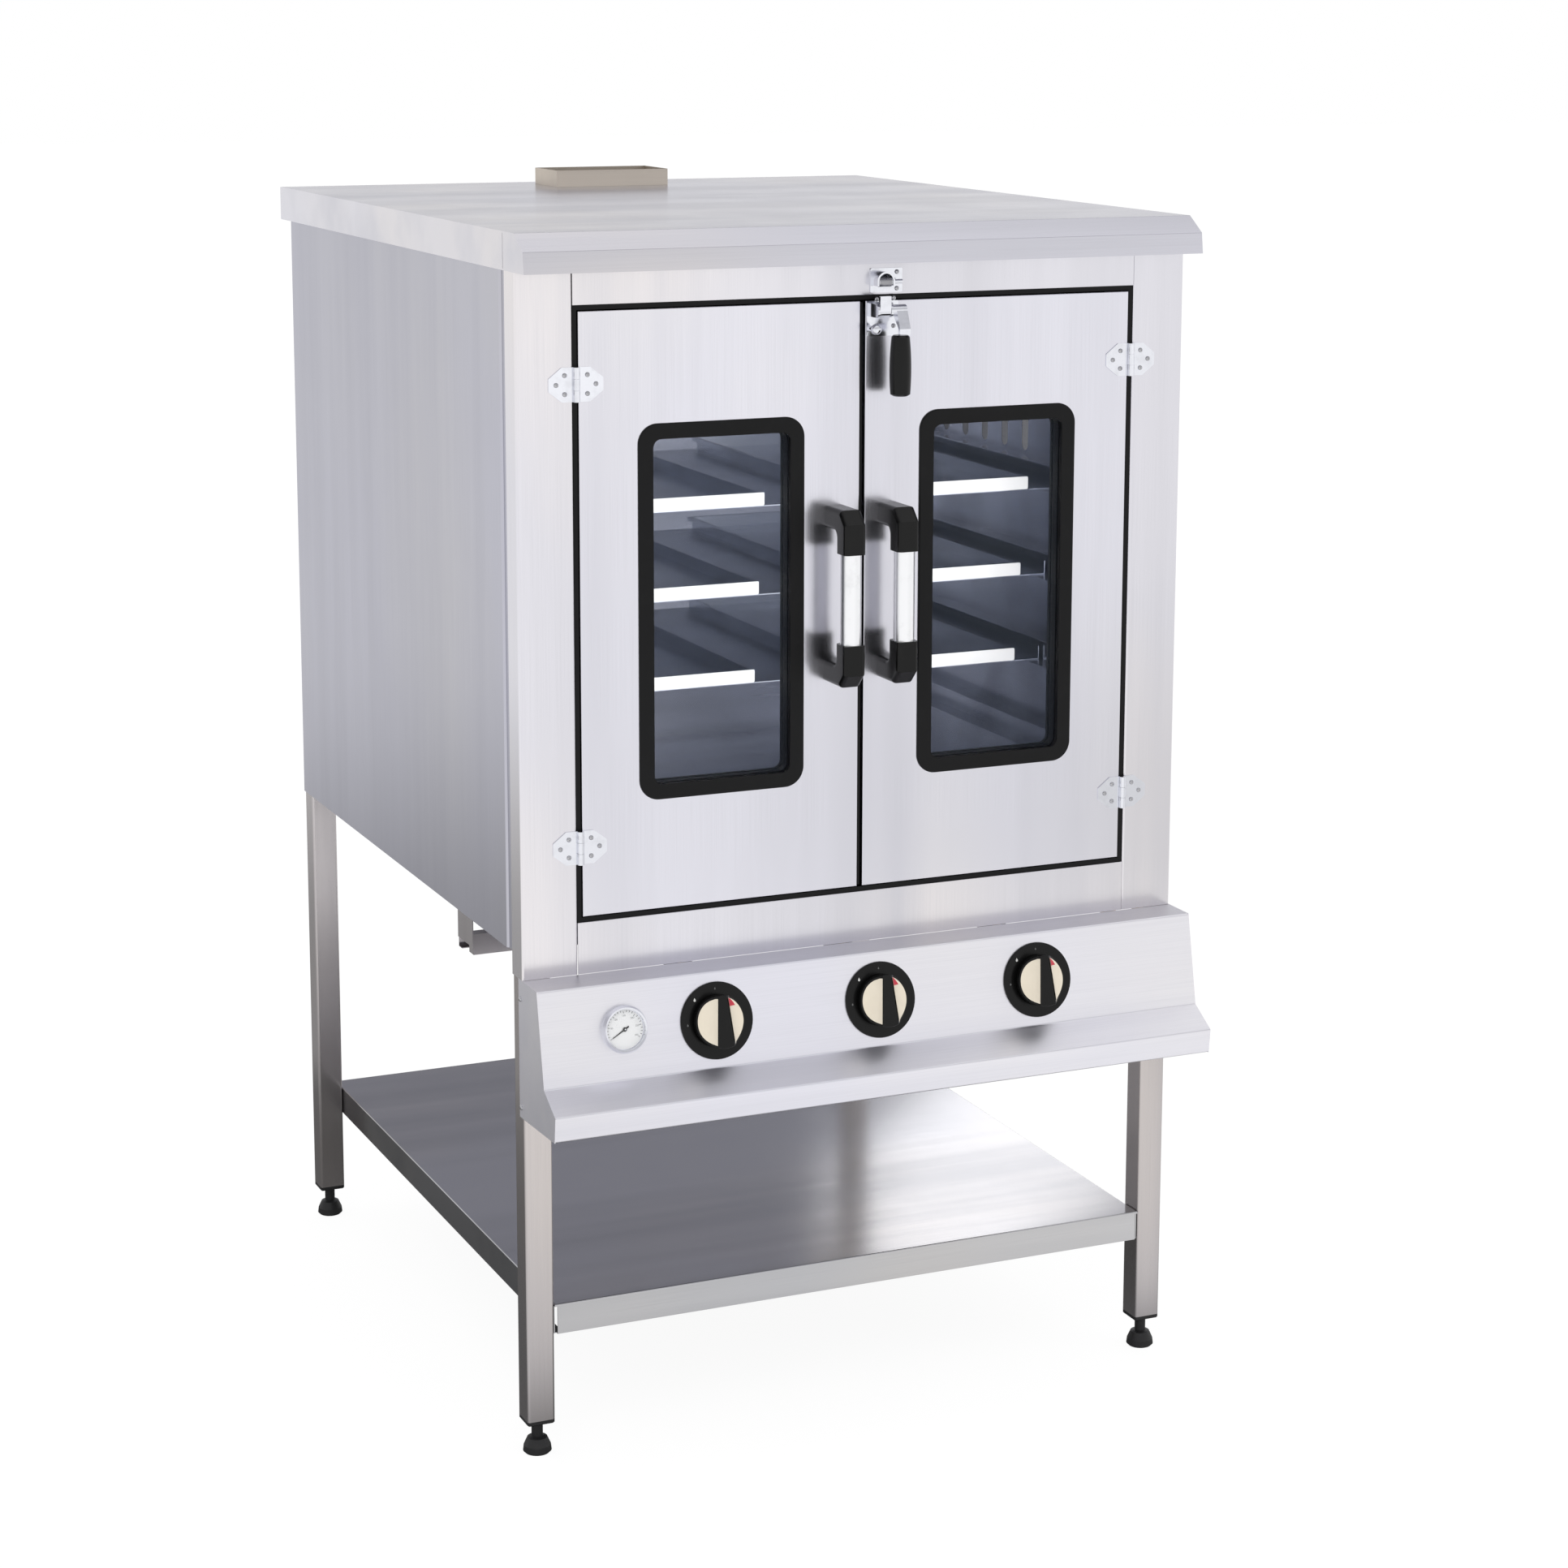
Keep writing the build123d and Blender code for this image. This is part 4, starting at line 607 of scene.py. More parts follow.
def fit(piece: bpy.types.Object, body: str, finish: Finish, smooth: float = 35.0) -> None:
    """Gives a finished piece its material, shading and body.

    Args:
        piece: the piece.
        body: the body that it rides on.
        finish: its finish.
        smooth: the angle in degrees up to which edges shade smooth.
    """
    piece.data.materials.clear()
    piece.data.materials.append(finish.material())
    piece.data.shade_smooth()
    piece.data.set_sharp_from_angle(angle=math.radians(smooth))
    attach(piece, body)
    LOG.info("piece %s on %s", piece.name, body)


def lathed(profile: Sequence[tuple[float, float]], steps: int = 48) -> bmesh.types.BMesh:
    """A closed turned shape about Z.

    Args:
        profile: radius and height of each point, in metres, starting and ending on the axis or closed on itself.
        steps: facets round the axis.

    Returns:
        The mesh.
    """
    build = bmesh.new()
    rings = []
    for radius, height in profile:
        if radius < 1e-7:
            rings.append([build.verts.new((0.0, 0.0, height))])
            continue
        turns = (2 * math.pi * k / steps for k in range(steps))
        rings.append([build.verts.new((radius * math.cos(a), radius * math.sin(a), height)) for a in turns])
    for low, high in zip(rings, rings[1:]):
        for k in range(steps):
            n = (k + 1) % steps
            corners = [low[k % len(low)], low[n % len(low)], high[n % len(high)], high[k % len(high)]]
            unique = list(dict.fromkeys(corners))
            if len(unique) > 2:
                build.faces.new(unique)
    return build


def plate(outline: Sequence[tuple[float, float]], thickness: float, bevel: float = 0.0) -> bmesh.types.BMesh:
    """A flat plate in the XY plane, from Z 0 up.

    Args:
        outline: corners in order.
        thickness: its height along Z.
        bevel: chamfer of its upper edges.

    Returns:
        The mesh.
    """
    build = bmesh.new()
    build.faces.new([build.verts.new((x, y, 0.0)) for x, y in outline])
    raised(build, thickness)
    if bevel:
        edges = [e for e in build.edges if all(v.co.z > thickness / 2 for v in e.verts)]
        bmesh.ops.bevel(build, geom=edges, offset=bevel, segments=3, affect="EDGES", profile=0.6)
    return build


def around(radius: float, degrees: float) -> tuple[float, float]:
    """The point at an angle on a circle about the origin."""
    turn = math.radians(degrees)
    return radius * math.cos(turn), radius * math.sin(turn)


def arc(centre: tuple[float, float], radius: float, start: float, end: float, steps: int) -> list[tuple[float, float]]:
    """Points on an arc.

    Args:
        centre: its centre.
        radius: its radius.
        start: first angle in degrees.
        end: last angle in degrees.
        steps: how many runs between points.

    Returns:
        The points, both ends among them.
    """
    points = (around(radius, start + (end - start) * k / steps) for k in range(steps + 1))
    return [(centre[0] + x, centre[1] + y) for x, y in points]


def rounded(low: tuple[float, float], high: tuple[float, float], radius: float,
            steps: int = 6) -> list[tuple[float, float]]:
    """A rectangle with rounded corners.

    Args:
        low: its lowest corner.
        high: its highest corner.
        radius: the corners' radius.
        steps: runs round each corner.

    Returns:
        The points in order, anticlockwise.
    """
    found = []
    for turn, (x, y) in enumerate(((high[0], high[1]), (low[0], high[1]), (low[0], low[1]), (high[0], low[1]))):
        centre = (x + (radius if x == low[0] else -radius), y + (radius if y == low[1] else -radius))
        found += arc(centre, radius, 90.0 * turn, 90.0 * (turn + 1), steps)
    return found


def facing(origin: Point, normal: Point, across: Point = (1.0, 0.0, 0.0)) -> Matrix:
    """A place whose Z points along a normal.

    Args:
        origin: where it is, in metres.
        normal: its Z.
        across: about where its X points.

    Returns:
        The placing matrix.
    """
    z = Vector(normal).normalized()
    y = z.cross(Vector(across)).normalized()
    x = y.cross(z)
    turned = Matrix((x, y, z)).transposed().to_4x4()
    return Matrix.Translation(Vector(origin)) @ turned


# Geometry Nodes


class GeometryTree(Tree):
    """A geometry group with named inputs, which ends in Realize Instances and Set Material."""

    PREFIX = "GeometryNode"

    def __init__(self, name: str, sizes: dict[str, float]) -> None:
        """Makes the group's interface.

        Args:
            name: the group's name.
            sizes: its named number inputs with their values.
        """
        group = bpy.data.node_groups.new(name, "GeometryNodeTree")
        super().__init__(group)
        self.sizes = sizes
        sockets = {"Geometry": "Geometry", **dict.fromkeys(sizes, "Float"), "Head": "Object", "Finish": "Material"}
        for label, kind in sockets.items():
            group.interface.new_socket(label, in_out="INPUT", socket_type="NodeSocket" + kind)
        group.interface.new_socket("Geometry", in_out="OUTPUT", socket_type="NodeSocketGeometry")
        self.given = self.node("NodeGroupInput")

    def aligned(self, axis: str) -> bpy.types.NodeSocket:
        """The turn that lays an axis of each copy along its point's direction."""
        towards = self.node("InputNamedAttribute", {"data_type": "FLOAT_VECTOR"}, {"Name": DIRECTION})
        turn = self.node("FunctionNodeAlignRotationToVector", {"axis": axis}, {"Vector": towards.outputs[0]})
        return turn.outputs[0]

    def close(self, rotation: bpy.types.NodeSocket) -> None:
        """Ends the tree with a real, dressed copy of the head on every point.

        Args:
            rotation: the turn of each copy.
        """
        given = self.given.outputs
        shape = self.node("ObjectInfo", None, {"Object": given["Head"]})
        points = self.node("MeshToPoints", None, {"Mesh": given["Geometry"]})
        placed = self.node("InstanceOnPoints", None, {
            "Points": points.outputs[0], "Instance": shape.outputs["Geometry"], "Rotation": rotation,
            "Scale": given["Size"]})
        real = self.node("RealizeInstances", None, {"Geometry": placed.outputs[0]})
        dressed = self.node("SetMaterial", None, {"Geometry": real.outputs[0], "Material": given["Finish"]})
        self.node("NodeGroupOutput", None, {"Geometry": dressed.outputs[0]})

    def run(self, name: str, carrier: bpy.types.Object, head: bpy.types.Object, finish: Finish) -> bpy.types.Object:
        """Applies the group to a carrier and returns a plain mesh.

        Args:
            name: the result's name.
            carrier: the points to place copies on, which is removed.
            head: the shape that is repeated.
            finish: its finish.

        Returns:
            The realised object.
        """
        modifier = carrier.modifiers.new("repeat", "NODES")
        modifier.node_group = self.tree
        values = {**self.sizes, "Head": head, "Finish": finish.material()}
        for item in self.tree.interface.items_tree:
            if item.in_out == "INPUT" and item.name in values:
                modifier[item.identifier] = values[item.name]
        mesh = evaluated_mesh(carrier)
        carrier.modifiers.remove(modifier)
        bpy.data.objects.remove(carrier)
        return linked(name, mesh)


def screw_group() -> GeometryTree:
    """The group that sets a screw on each point, facing along the point's normal with a random turn.

    Returns:
        The finished group.
    """
    tree = GeometryTree("set_screws", {"Size": 1.0, "Spin": math.pi})
    spin = tree.node(
        "FunctionNodeRandomValue", {"data_type": "FLOAT"}, {2: 0.0, 3: tree.given.outputs["Spin"], "Seed": SCREW_SEED})
    local = tree.node("FunctionNodeAxisAngleToRotation", None, {"Axis": (0.0, 0.0, 1.0), "Angle": spin.outputs[1]})
    turned = tree.node(
        "FunctionNodeRotateRotation", {"rotation_space": "LOCAL"},
        {"Rotation": tree.aligned("Z"), "Rotate By": local.outputs[0]})
    tree.close(turned.outputs[0])
    return tree


def pan_head() -> bpy.types.Object:
    """A low domed screw head of unit diameter with a recess."""
    dome = ((0.5, 0.0), (0.5, 0.1), (0.46, 0.19), (0.36, 0.27), (0.22, 0.32), (0.13, 0.335))
    return object_from("pan_head", lathed((*dome, (0.1, 0.18), (0.0, 0.15)), 16))


@dataclass
class Screws:
    """Sets of equal screws, each set one mesh on one body."""

    group: GeometryTree = field(default_factory=screw_group)
    head: bpy.types.Object = field(default_factory=pan_head)

    def set(self, name: str, spots: Iterable[tuple[Point, Point]], size: float, body: str) -> None:
        """Sets one screw on each spot.

        Args:
            name: the piece's name.
            spots: the place and the outward direction of each screw.
            size: the head's diameter in metres.
            body: the body that carries them.
        """
        self.group.sizes["Size"] = size
        piece = self.group.run(name, directed_points(name + "_spots", spots), self.head, Finish.SCREW)
        fit(piece, body, Finish.SCREW, 30.0)

    def clear(self) -> None:
        """Removes the head that was repeated."""
        bpy.data.objects.remove(self.head)


# Sub-assemblies


@dataclass
class ButterflyHinges:
    """The screws of the four butterfly hinges."""

    screws: Screws
    axis_x: float = 416 * MM
    face_y: float = -497 * MM
    heights: tuple[float, float] = (863 * MM, 1490 * MM)
    inner: tuple[float, float] = (16 * MM, 12.5 * MM)
    outer: float = 28 * MM
    head: float = 6.6 * MM

    def spots(self, side: int, towards: int) -> list[tuple[Point, Point]]:
        """Places of the six screws of one door's or one stile's two leaves.

        Args:
            side: -1 for the left hinges, 1 for the right.
            towards: 1 for the frame's leaf, -1 for the door's.

        Returns:
            A place and a direction for each screw.
        """
        across, up = self.inner
        leaf = ((across, up), (across, -up), (self.outer, 0.0))
        return [
            ((side * (self.axis_x + towards * x), self.face_y, height + z), FORWARD)
            for height in self.heights for x, z in leaf]

    def build(self) -> None:
        """Sets the screws of every leaf."""
        self.screws.set("hinge_screws_frame", self.spots(-1, 1) + self.spots(1, 1), self.head, "root")
        for side, name in SIDES:
            self.screws.set(f"hinge_screws_{name}", self.spots(side, -1), self.head, f"door_{name}")


@dataclass
class ConsoleFace:
    """The console's sloping face, which the knobs and the thermometer stand on."""

    normal: Point = (0.0, -0.980287, 0.197577)

    def place(self, origin: Point) -> Matrix:
        """A place on the face whose Z points at the user and whose Y points up the slope."""
        return facing(origin, self.normal)


@dataclass
class KnobTrim:
    """Cream inserts, a red mark and printed marks of one gas knob."""

    name: str
    x: float
    face: ConsoleFace
    y: float = -565.802 * MM
    z: float = 620 * MM
    scoop: float = 26 * MM
    ridge: float = 14 * MM
    floor: float = 15 * MM
    rim: float = 33.4 * MM
    edge: float = 10.4 * MM
    taper: float = 5.0
    swell: float = 7.0 * MM
    span: tuple[float, float] = (-31.0 * MM, 32.0 * MM)
    pointer: tuple[float, float] = (20.0 * MM, 31.6 * MM)
    pointer_share: float = 0.72
    skin: float = 0.5 * MM
    under: float = 0.05 * MM
    over: float = 0.06 * MM
    steps: tuple[int, int] = (12, 24)
    marks: float = 43.5 * MM
    bezel: float = 3 * MM
    # Two of the three signs take the dark copy of the white mark: painted shade.
    signs: tuple[tuple[float, float, Finish], ...] = (
        (90.0, 1.7, Finish.FAINT), (135.0, 2.7, Finish.MARK), (183.0, 1.9, Finish.FAINT))

    def _height(self, across: float, up: float) -> float:
        """Height of the scoop's surface at a place on the knob's face."""
        turn = math.radians(self.taper)
        away = (across - self.ridge / 2 - self.scoop) * math.cos(turn) + up * math.sin(turn)
        if away >= 0:
            return self.floor
        return self.floor + self.scoop - math.sqrt(max(self.scoop ** 2 - away ** 2, 0.0))

    def _fillet(self, away: float) -> float:
        """Height of the hollow that runs up to the ridge, at a distance from the ridge."""
        short = max(self.swell - away, 0.0)
        return 0.35 * (self.swell - math.sqrt(max(self.swell ** 2 - short ** 2, 0.0)))

    def _insert(self, side: int, ups: tuple[float, float], share: float, lift: float) -> bmesh.types.BMesh:
        """A thin sheet that lies in a scoop, from beside the ridge outwards.

        Args:
            side: -1 for the left scoop, 1 for the right.
            ups: its lowest and highest place along the ridge.
            share: how much of the way to the rim it covers.
            lift: how far it stands off the scoop.

        Returns:
            The mesh.
        """
        build = bmesh.new()
        across_steps, up_steps = self.steps
        rows = []
        for j in range(up_steps + 1):
            up = ups[0] + (ups[1] - ups[0]) * j / up_steps
            near = self.edge - up * math.tan(math.radians(self.taper))
            reach = max(math.sqrt(self.rim ** 2 - up ** 2), near)
            spots = [near + share * (reach - near) * i / across_steps for i in range(across_steps + 1)]
            rows.append([build.verts.new((side * x, up, self._height(x, up) + self._fillet(x - near) + lift))
                         for x in spots])
        for low, high in zip(rows, rows[1:]):
            for i in range(across_steps):
                build.faces.new((low[i], low[i + 1], high[i + 1], high[i]))
        bmesh.ops.remove_doubles(build, verts=build.verts, dist=1e-6)
        bmesh.ops.recalc_face_normals(build, faces=build.faces)
        return raised(build, self.skin)

    def build(self) -> None:
        """Builds the inserts on the knob and the marks on the dial plate."""
        place = self.face.place((self.x, self.y, self.z))
        body = f"knob_{self.name}"
        for side, word in SIDES:
            insert = self._insert(side, self.span, 1.0, self.under)
            fit(object_from(f"{body}_insert_{word}", insert, place), body, Finish.CREAM, 50.0)
        mark = self._insert(1, self.pointer, self.pointer_share, self.skin + self.over)
        fit(object_from(f"{body}_pointer", mark, place), body, Finish.RED, 50.0)
        for number, (angle, size, finish) in enumerate(self.signs):
            spot = Matrix.Translation((*around(self.marks, angle), self.bezel))
            flame = self._flame(size * MM)
            fit(object_from(f"dial_mark_{self.name}_{number}", flame, place @ spot), "root", finish)

    @staticmethod
    def _flame(size: float) -> bmesh.types.BMesh:
        """A small drop-shaped flame sign."""
        tip = ((0.55, 0.25), (0.28, 0.75), (0.0, 1.3), (-0.3, 0.7), (-0.56, 0.22))
        outline = arc((0.0, 0.0), size * 0.62, 200.0, 340.0, 10) + [(size * x, size * y) for x, y in tip]
        return plate(outline, 0.12 * MM)


@dataclass
class Thermometer:
    """The printed dial of the oven's thermometer."""

    face: ConsoleFace
    origin: Point = (-381 * MM, -564.996 * MM, 624 * MM)
    floor: float = 4.2 * MM
    radius: float = 26.8 * MM
    card: float = 0.1 * MM
    hole: float = 1.3 * MM
    lowest: float = 210.0
    sweep: float = 240.0
    ticks: int = 25
    tick_size: float = 2.6
    tick_width: float = 0.28
    tick_rise: float = 0.06
    tick_starts: tuple[float, float] = (5.2 * MM, 3.4 * MM)
    figures: tuple[int, ...] = (0, 50, 100, 150, 200, 250, 300)
    figure_size: float = 3.6 * MM
    figure_rise: float = 0.03 * MM
    figure_start: float = 8.2 * MM

    def _ticks(self) -> bpy.types.Object:
        """The ring of ticks, each fourth one long, as one mesh in the dial's own plane."""
        half = self.tick_width / 2
        build = plate(((0.0, -half), (1.0, -half), (1.0, half), (0.0, half)), self.tick_rise)
        head = object_from("tick_shape", build, Matrix.Scale(1 * MM, 4))
        spots = []
        for k in range(self.ticks):
            angle = self.lowest - self.sweep * k / (self.ticks - 1)
            inner = self.radius - self.tick_starts[0 if k % 4 == 0 else 1]
            spots.append(((*around(inner, angle), self.floor + self.card), (*around(1.0, angle), 0.0)))
        group = GeometryTree("ring_of_ticks", {"Size": self.tick_size})
        group.close(group.aligned("X"))
        ring = group.run("thermometer_ticks", directed_points("tick_spots", spots), head, Finish.PRINT)
        bpy.data.objects.remove(head)
        return ring

    def _figure(self, number: int, share: float) -> bpy.types.Object:
        """One printed number.

        Args:
            number: what it says.
            share: its place along the scale, from 0 to 1.

        Returns:
            The number as a mesh in the dial's own plane.
        """
        text = bpy.data.curves.new(f"figure_{number}", "FONT")
        text.body = str(number)
        text.size = self.figure_size
        text.align_x, text.align_y = "CENTER", "CENTER"
        text.extrude = self.figure_rise
        text.resolution_u = 3
        carrier = linked(f"figure_{number}", text)
        mesh = evaluated_mesh(carrier)
        bpy.data.objects.remove(carrier)
        spot = around(self.radius - self.figure_start, self.lowest - self.sweep * share)
        mesh.transform(Matrix.Translation((*spot, self.floor + self.card + self.figure_rise)))
        return linked(f"thermometer_figure_{number}", mesh)

    def build(self) -> None:
        """Builds the card, its ticks and its numbers."""
        place = self.face.place(self.origin)
        low, high = self.floor, self.floor + self.card
        section = ((self.hole, low), (self.hole, high), (self.radius, high), (self.radius, low), (self.hole, low))
        fit(object_from("thermometer_card", lathed(section, 64), place), "root", Finish.DIAL)
        least, most = self.figures[0], self.figures[-1]
        for piece in (self._ticks(), *(self._figure(n, (n - least) / (most - least)) for n in self.figures)):
            piece.data.transform(place)
            fit(piece, "root", Finish.PRINT)


@dataclass
class Latch:
    """The sleeve on the keeper's roller, dark as a painted reflection, and the screws of the keeper and of the latch's
    base.
    """

    screws: Screws
    front: float = -497.5 * MM
    roller: Point = (25.5 * MM, -509.0 * MM, 1612.5 * MM)
    roller_radius: float = 6.9 * MM
    roller_length: float = 19.0 * MM
    bore: float = 4.9 * MM
    round_end: tuple[tuple[float, float], ...] = ((0.5 * MM, 0.0), (0.1 * MM, 0.4 * MM), (0.0, 1.2 * MM))
    keeper_spots: tuple[tuple[float, float], ...] = ((49.5 * MM, 1602.0 * MM), (49.5 * MM, 1624.5 * MM))
    base_spots: tuple[tuple[float, float], ...] = (
        (19.5 * MM, 1552.0 * MM), (19.5 * MM, 1588.0 * MM), (45.0 * MM, 1551.0 * MM), (45.0 * MM, 1589.0 * MM))
    head: float = 6.4 * MM

    def build(self) -> None:
        """Builds the roller's sleeve and sets the screws."""
        half, radius = self.roller_length / 2, self.roller_radius
        lower = [(radius - inwards, -half + along) for inwards, along in self.round_end]
        upper = [(r, -z) for r, z in reversed(lower)]
        sleeve = lathed((*lower, *upper, (self.bore, half), (self.bore, -half), lower[0]), 40)
        place = facing(self.roller, (1.0, 0.0, 0.0), (0.0, 1.0, 0.0))
        fit(object_from("keeper_roller_sleeve", sleeve, place), "root", Finish.ROLLER)
        for name, spots, body in (("keeper", self.keeper_spots, "root"), ("latch", self.base_spots, "door_right")):
            heads = [((x, self.front, z), FORWARD) for x, z in spots]
            self.screws.set(f"{name}_screws", heads, self.head, body)


@dataclass
class TrayLips:
    """Near-white sheets on the rolled fronts of the baking trays, a pair on each level: a painted highlight where the
    fronts catch the light.
    """

    levels: tuple[str, ...] = each("tray", LEVELS)
    span: tuple[float, float] = (66.4 * MM, 353.6 * MM)
    base: float = 1.2 * MM
    sheet: float = 0.9 * MM
    corner: float = 2.5 * MM
    bevel: float = 0.4 * MM
    clear: float = 0.1 * MM

    def build(self) -> None:
        """Builds the two lips of every level."""
        for level in self.levels:
            low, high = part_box(level)
            place = facing((0.0, low.y, 0.0), FORWARD)
            for side, word in SIDES:
                start, end = sorted(side * x for x in self.span)
                outline = rounded((start, low.z + self.base), (end, high.z - self.clear), self.corner)
                lip = plate(outline, self.sheet, self.bevel)
                fit(object_from(f"{level}_lip_{word}", lip, place), level, Finish.LIP)


@dataclass
class Casing:
    """Screws of the console's cheeks and of the back sheet."""

    screws: Screws
    side: float = 500 * MM
    front: float = -495.5 * MM
    rear: float = 574.5 * MM
    cheek_inset: float = 8 * MM
    cheek_heights: tuple[float, float] = (659 * MM, 506 * MM)
    cheek_head: float = 7.5 * MM
    back_half: float = 478 * MM
    back_columns: tuple[int, float] = (9, 119.5 * MM)
    back_rows: tuple[int, float] = (7, 127 * MM)
    back_ends: tuple[float, float] = (735 * MM, 1625 * MM)
    back_head: float = 9 * MM

    def build(self) -> None:
        """Sets the screws, those of the back round its edge."""
        cheeks = [
            ((side * self.side, self.front + self.cheek_inset, z), (float(side), 0.0, 0.0))
            for side, _ in SIDES for z in self.cheek_heights]
        self.screws.set("console_screws", cheeks, self.cheek_head, "root")
        (columns, across), (rows, up) = self.back_columns, self.back_rows
        spots = [(-self.back_half + k * across, z) for k in range(columns) for z in self.back_ends]
        spots += [(side * self.back_half, self.back_ends[0] + k * up) for side, _ in SIDES for k in range(1, rows)]
        back = [((x, self.rear, z), (0.0, 1.0, 0.0)) for x, z in spots]
        self.screws.set("back_screws", back, self.back_head, "root")


# Studio


@dataclass(frozen=True)
class SoftBox:
    """A rectangular lamp that the camera doesn't see, and metal only where mirrored is set."""

    name: str
    origin: Point
    target: Point
    size: tuple[float, float]
    level: float
    mirrored: bool = False
    roll: float = 0.0

    def build(self) -> None:
        """Adds the lamp; its level is its radiance, whatever its size."""
        lamp = bpy.data.lights.new(self.name, "AREA")
        lamp.shape = "RECTANGLE"
        lamp.size, lamp.size_y = self.size
        lamp.energy = self.level * math.pi * self.size[0] * self.size[1]
        box = linked(self.name, lamp)
        away = (Vector(self.origin) - Vector(self.target)).normalized()
        turned = away.to_track_quat("Z", "Y").to_matrix().to_4x4() @ Matrix.Rotation(math.radians(self.roll), 4, "Z")
        box.matrix_world = Matrix.Translation(self.origin) @ turned
        box.visible_camera = False
        box.visible_glossy = self.mirrored


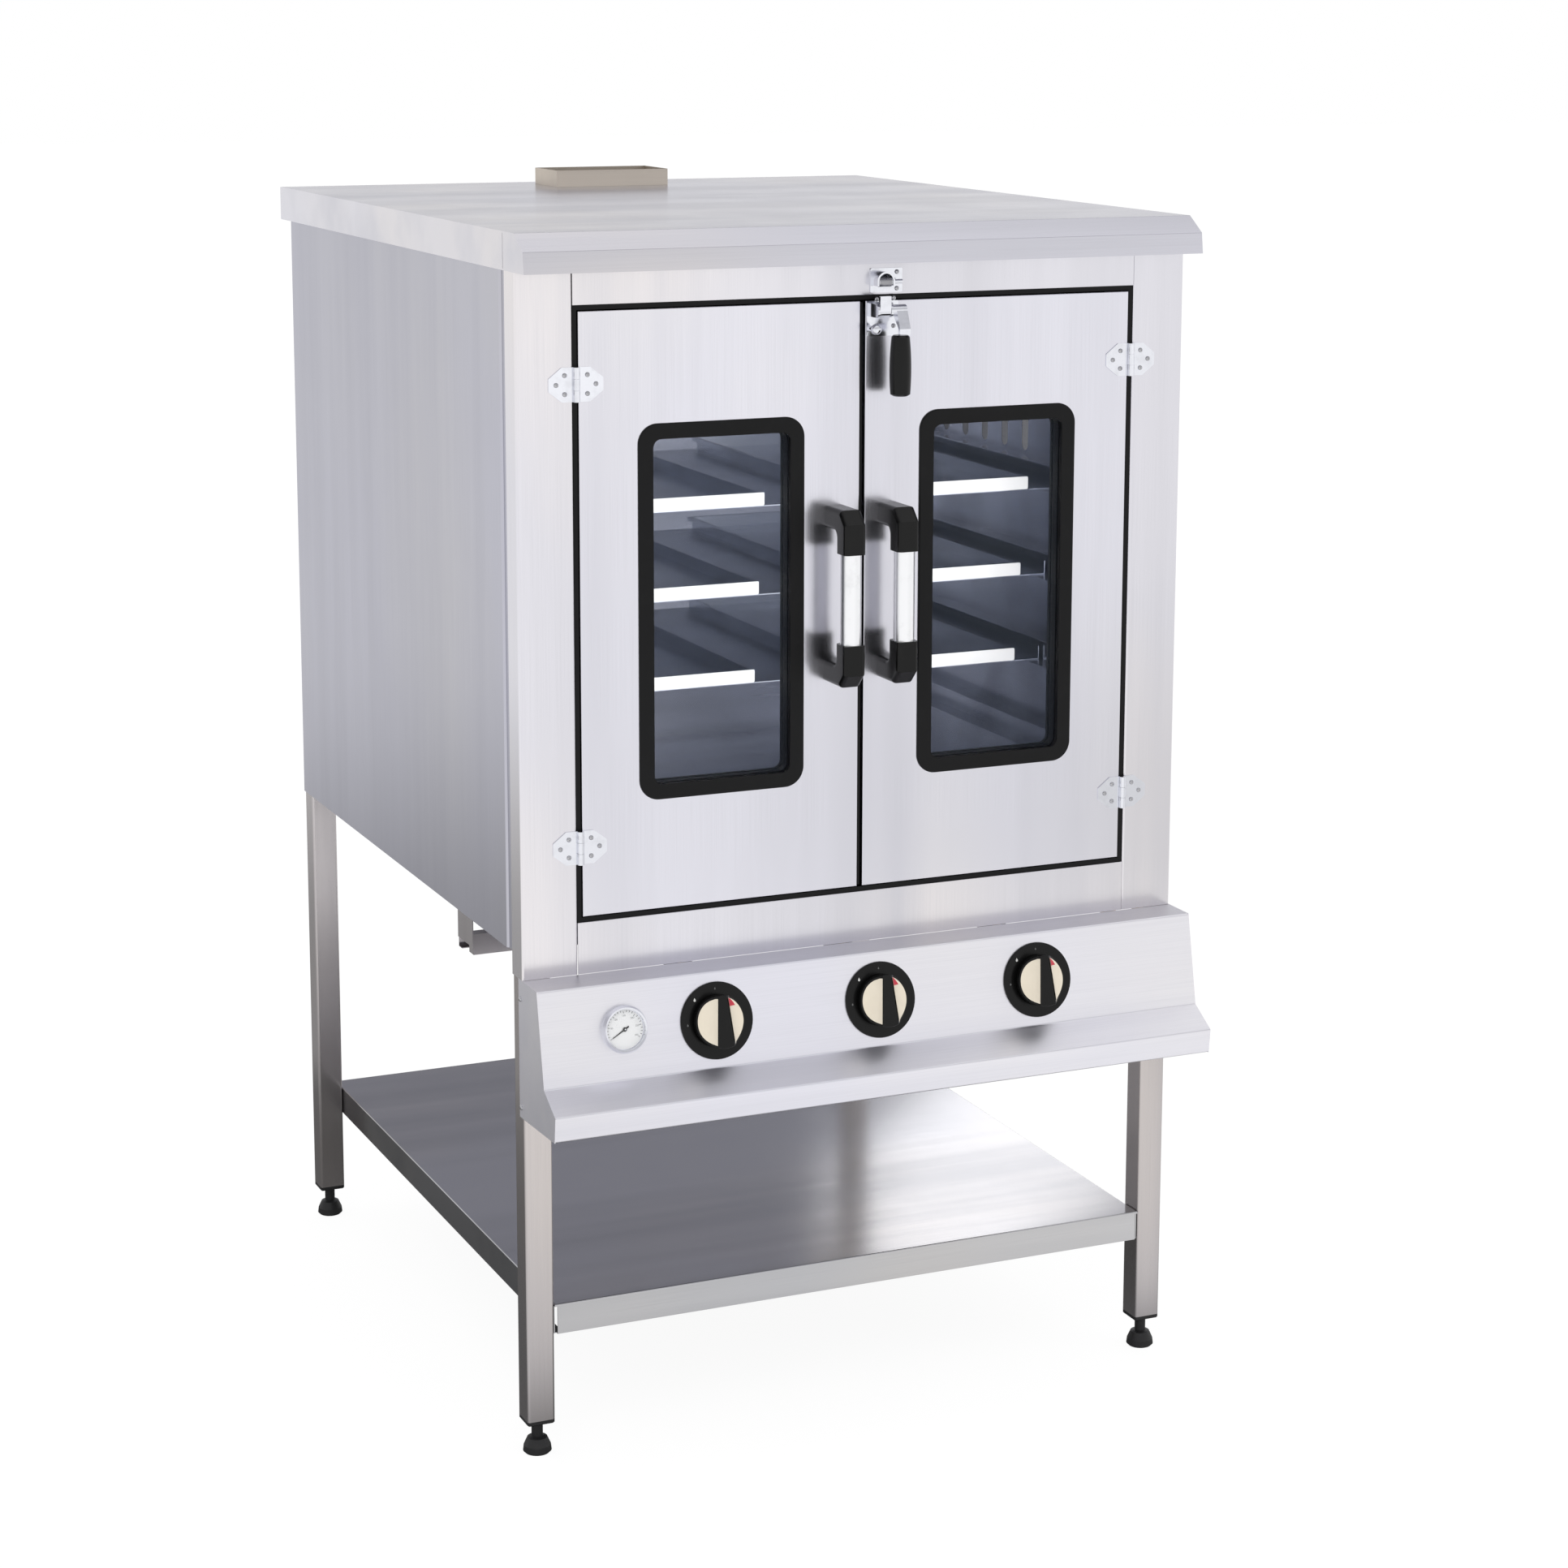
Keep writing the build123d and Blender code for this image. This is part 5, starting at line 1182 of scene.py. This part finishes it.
@dataclass(frozen=True)
class Studio:
    """Pale floor, soft light and the photograph's camera."""

    eye: Point = (-1.9551, -4.7092, 2.002)
    yaw: float = 24.111
    pitch: float = 10.314
    roll: float = 0.213
    focal: float = 4209.7
    centre: tuple[float, float] = (1004.64, 753.48)
    image: float = 1932.0
    ceiling: tuple[tuple[float, Colour], ...] = (
        (0.0, (1.0, 1.0, 1.0)), (0.16, (1.0, 1.0, 1.0)), (0.36, (0.66, 0.66, 0.68)), (0.7, (0.6, 0.6, 0.62)),
        (0.8, (0.9, 0.9, 0.91)), (0.95, (1.15, 1.15, 1.16)))
    dim: Colour = (0.36, 0.36, 0.41)
    dim_towards: Point = (0.2777, 0.8547, 0.4384)
    dim_edge: float = 0.955
    dim_gain: float = 2.2
    seen: float = 1.0
    cast: float = 0.8
    floor_half: float = 40.0
    floor_glow: float = 1.08
    floor_share: float = 0.86
    floor_least: float = 0.08
    # Painted shade and light on the floor as metal mirrors it: dark patches near and under the oven, a lighter patch
    # far in front; each is a centre, an inner and an outer radius, and a change in level.
    floor_painted_shade_and_light: tuple[tuple[tuple[float, float], float, float, float], ...] = (
        ((-1.0, 1.5), 0.9, 3.2, -0.68), ((0.0, 0.35), 0.9, 1.25, -0.7), ((2.9, -3.2), 0.8, 2.4, -0.3),
        ((3.8, -15.0), 1.0, 4.5, 0.3))
    lamps: tuple[SoftBox, ...] = (
        SoftBox("key", (-2.6, -3.6, 3.6), (0.0, 0.0, 1.0), (2.6, 2.2), 2.4),
        SoftBox("fill", (3.4, -2.6, 2.2), (0.0, 0.0, 0.9), (2.0, 2.4), 1.1),
        SoftBox("top", (0.3, 0.6, 4.4), (0.0, 0.0, 1.6), (2.8, 2.8), 0.8),
        SoftBox("behind", (1.355, 1.5, 0.83), (0.3, -0.55, 0.05), (0.45, 0.95), 1.85, True, -45.0),
        SoftBox("chamber", (0.0, -0.43, 1.18), (0.0, 0.4, 1.12), (0.76, 0.74), 1.5, True))

    def camera(self) -> None:
        """Sets the camera up where the photograph was taken from."""
        yaw, pitch, roll = (math.radians(a) for a in (self.yaw, self.pitch, self.roll))
        back = Vector((-math.sin(yaw) * math.cos(pitch), -math.cos(yaw) * math.cos(pitch), math.sin(pitch)))
        right = Vector((math.cos(yaw), -math.sin(yaw), 0.0))
        up = back.cross(right)
        turned_right = math.cos(roll) * right + math.sin(roll) * up
        turned_up = -math.sin(roll) * right + math.cos(roll) * up
        lens = bpy.data.cameras.new("photo_camera")
        lens.sensor_width = 36.0
        lens.lens = self.focal / self.image * lens.sensor_width
        lens.shift_x = (self.image / 2 - self.centre[0]) / self.image
        lens.shift_y = (self.centre[1] - self.image / 2) / self.image
        lens.clip_end = 200.0
        view = linked("photo_camera", lens)
        view.matrix_world = Matrix.Translation(self.eye) @ Matrix((turned_right, turned_up, back)).transposed().to_4x4()
        bpy.context.scene.camera = view

    def world(self) -> None:
        """Makes the background white to the eye, a ceiling with a dim patch in metal, and plain in what it casts."""
        world = bpy.data.worlds.new("studio")
        world.use_nodes = True
        bpy.context.scene.world = world
        tree = Tree(world.node_tree)
        shown, glossy = tree.rays()
        direction = tree.node("TexCoord").outputs["Generated"]
        height = tree.value("SeparateXYZ", None, {0: direction}, "Z")
        ceiling = tree.node("ValToRGB", {"stops": self.ceiling}, {0: height}).outputs[0]
        towards = tree.value("VectorMath", {"operation": "DOT_PRODUCT"}, {0: direction, 1: self.dim_towards}, "Value")
        dim = tree.clamped((towards - self.dim_edge) / (1.0 - self.dim_edge) * self.dim_gain)
        colour = tree.blend(glossy, (1.0, 1.0, 1.0), tree.blend(dim, ceiling, self.dim))
        strength = self.cast + shown * (self.seen - self.cast)
        shade = tree.node("Background", None, {"Color": colour, "Strength": strength})
        tree.node("OutputWorld", None, {"Surface": shade.outputs[0]})

    def floor(self) -> None:
        """Lays the pale floor: white to the eye, with painted shade close by and a painted bright patch further out as
        metal mirrors it, and with the oven's shadow on it.
        """
        build = bmesh.new()
        bmesh.ops.create_grid(build, x_segments=1, y_segments=1, size=self.floor_half)
        ground = object_from("studio_floor", build)
        tree = Material("studio_floor")
        shown, glossy = tree.rays()
        level: Number = 1.0
        # Each patch paints shade into the floor's reflection where its change is negative, and light where it is
        # positive.
        for (x, y), inner, outer, change in self.floor_painted_shade_and_light:
            away = tree.value("VectorMath", {"operation": "DISTANCE"}, {0: tree.coordinates, 1: (x, y, 0.0)}, "Value")
            level = level + tree.clamped((outer - away) / (outer - inner)) * change
        mirrored = tree.value("Math", {"operation": "MAXIMUM"}, {0: level, 1: self.floor_least}) * self.floor_glow
        strength = self.floor_glow + glossy * (mirrored - self.floor_glow)
        matt = tree.node("BsdfDiffuse", None, {"Color": (0.8, 0.8, 0.8, 1.0)})
        glow = tree.node("Emission", None, {"Color": (1.0, 1.0, 1.0, 1.0), "Strength": strength})
        mixed = tree.node("MixShader", None, {0: shown * self.floor_share, 1: matt.outputs[0], 2: glow.outputs[0]})
        tree.node("OutputMaterial", None, {"Surface": mixed.outputs[0]})
        ground.data.materials.append(tree.material)

    def build(self) -> None:
        """Sets up everything round the oven."""
        self.camera()
        self.world()
        for lamp in self.lamps:
            lamp.build()
        self.floor()
        bpy.context.scene.view_settings.view_transform = "Standard"
        LOG.info("studio ready")


def main() -> None:
    """Builds the dressed oven in order."""
    logging.basicConfig(level=logging.INFO, format="%(message)s")
    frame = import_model()
    Studio().build()
    dress_nodes(frame["nodes"])
    screws = Screws()
    face = ConsoleFace()
    ButterflyHinges(screws).build()
    for name, place in zip(KNOBS, (-1, 0, 1)):
        KnobTrim(name, place * KNOB_PITCH, face).build()
    Thermometer(face).build()
    Latch(screws).build()
    TrayLips().build()
    Casing(screws).build()
    screws.clear()


if __name__ == "__main__":
    main()
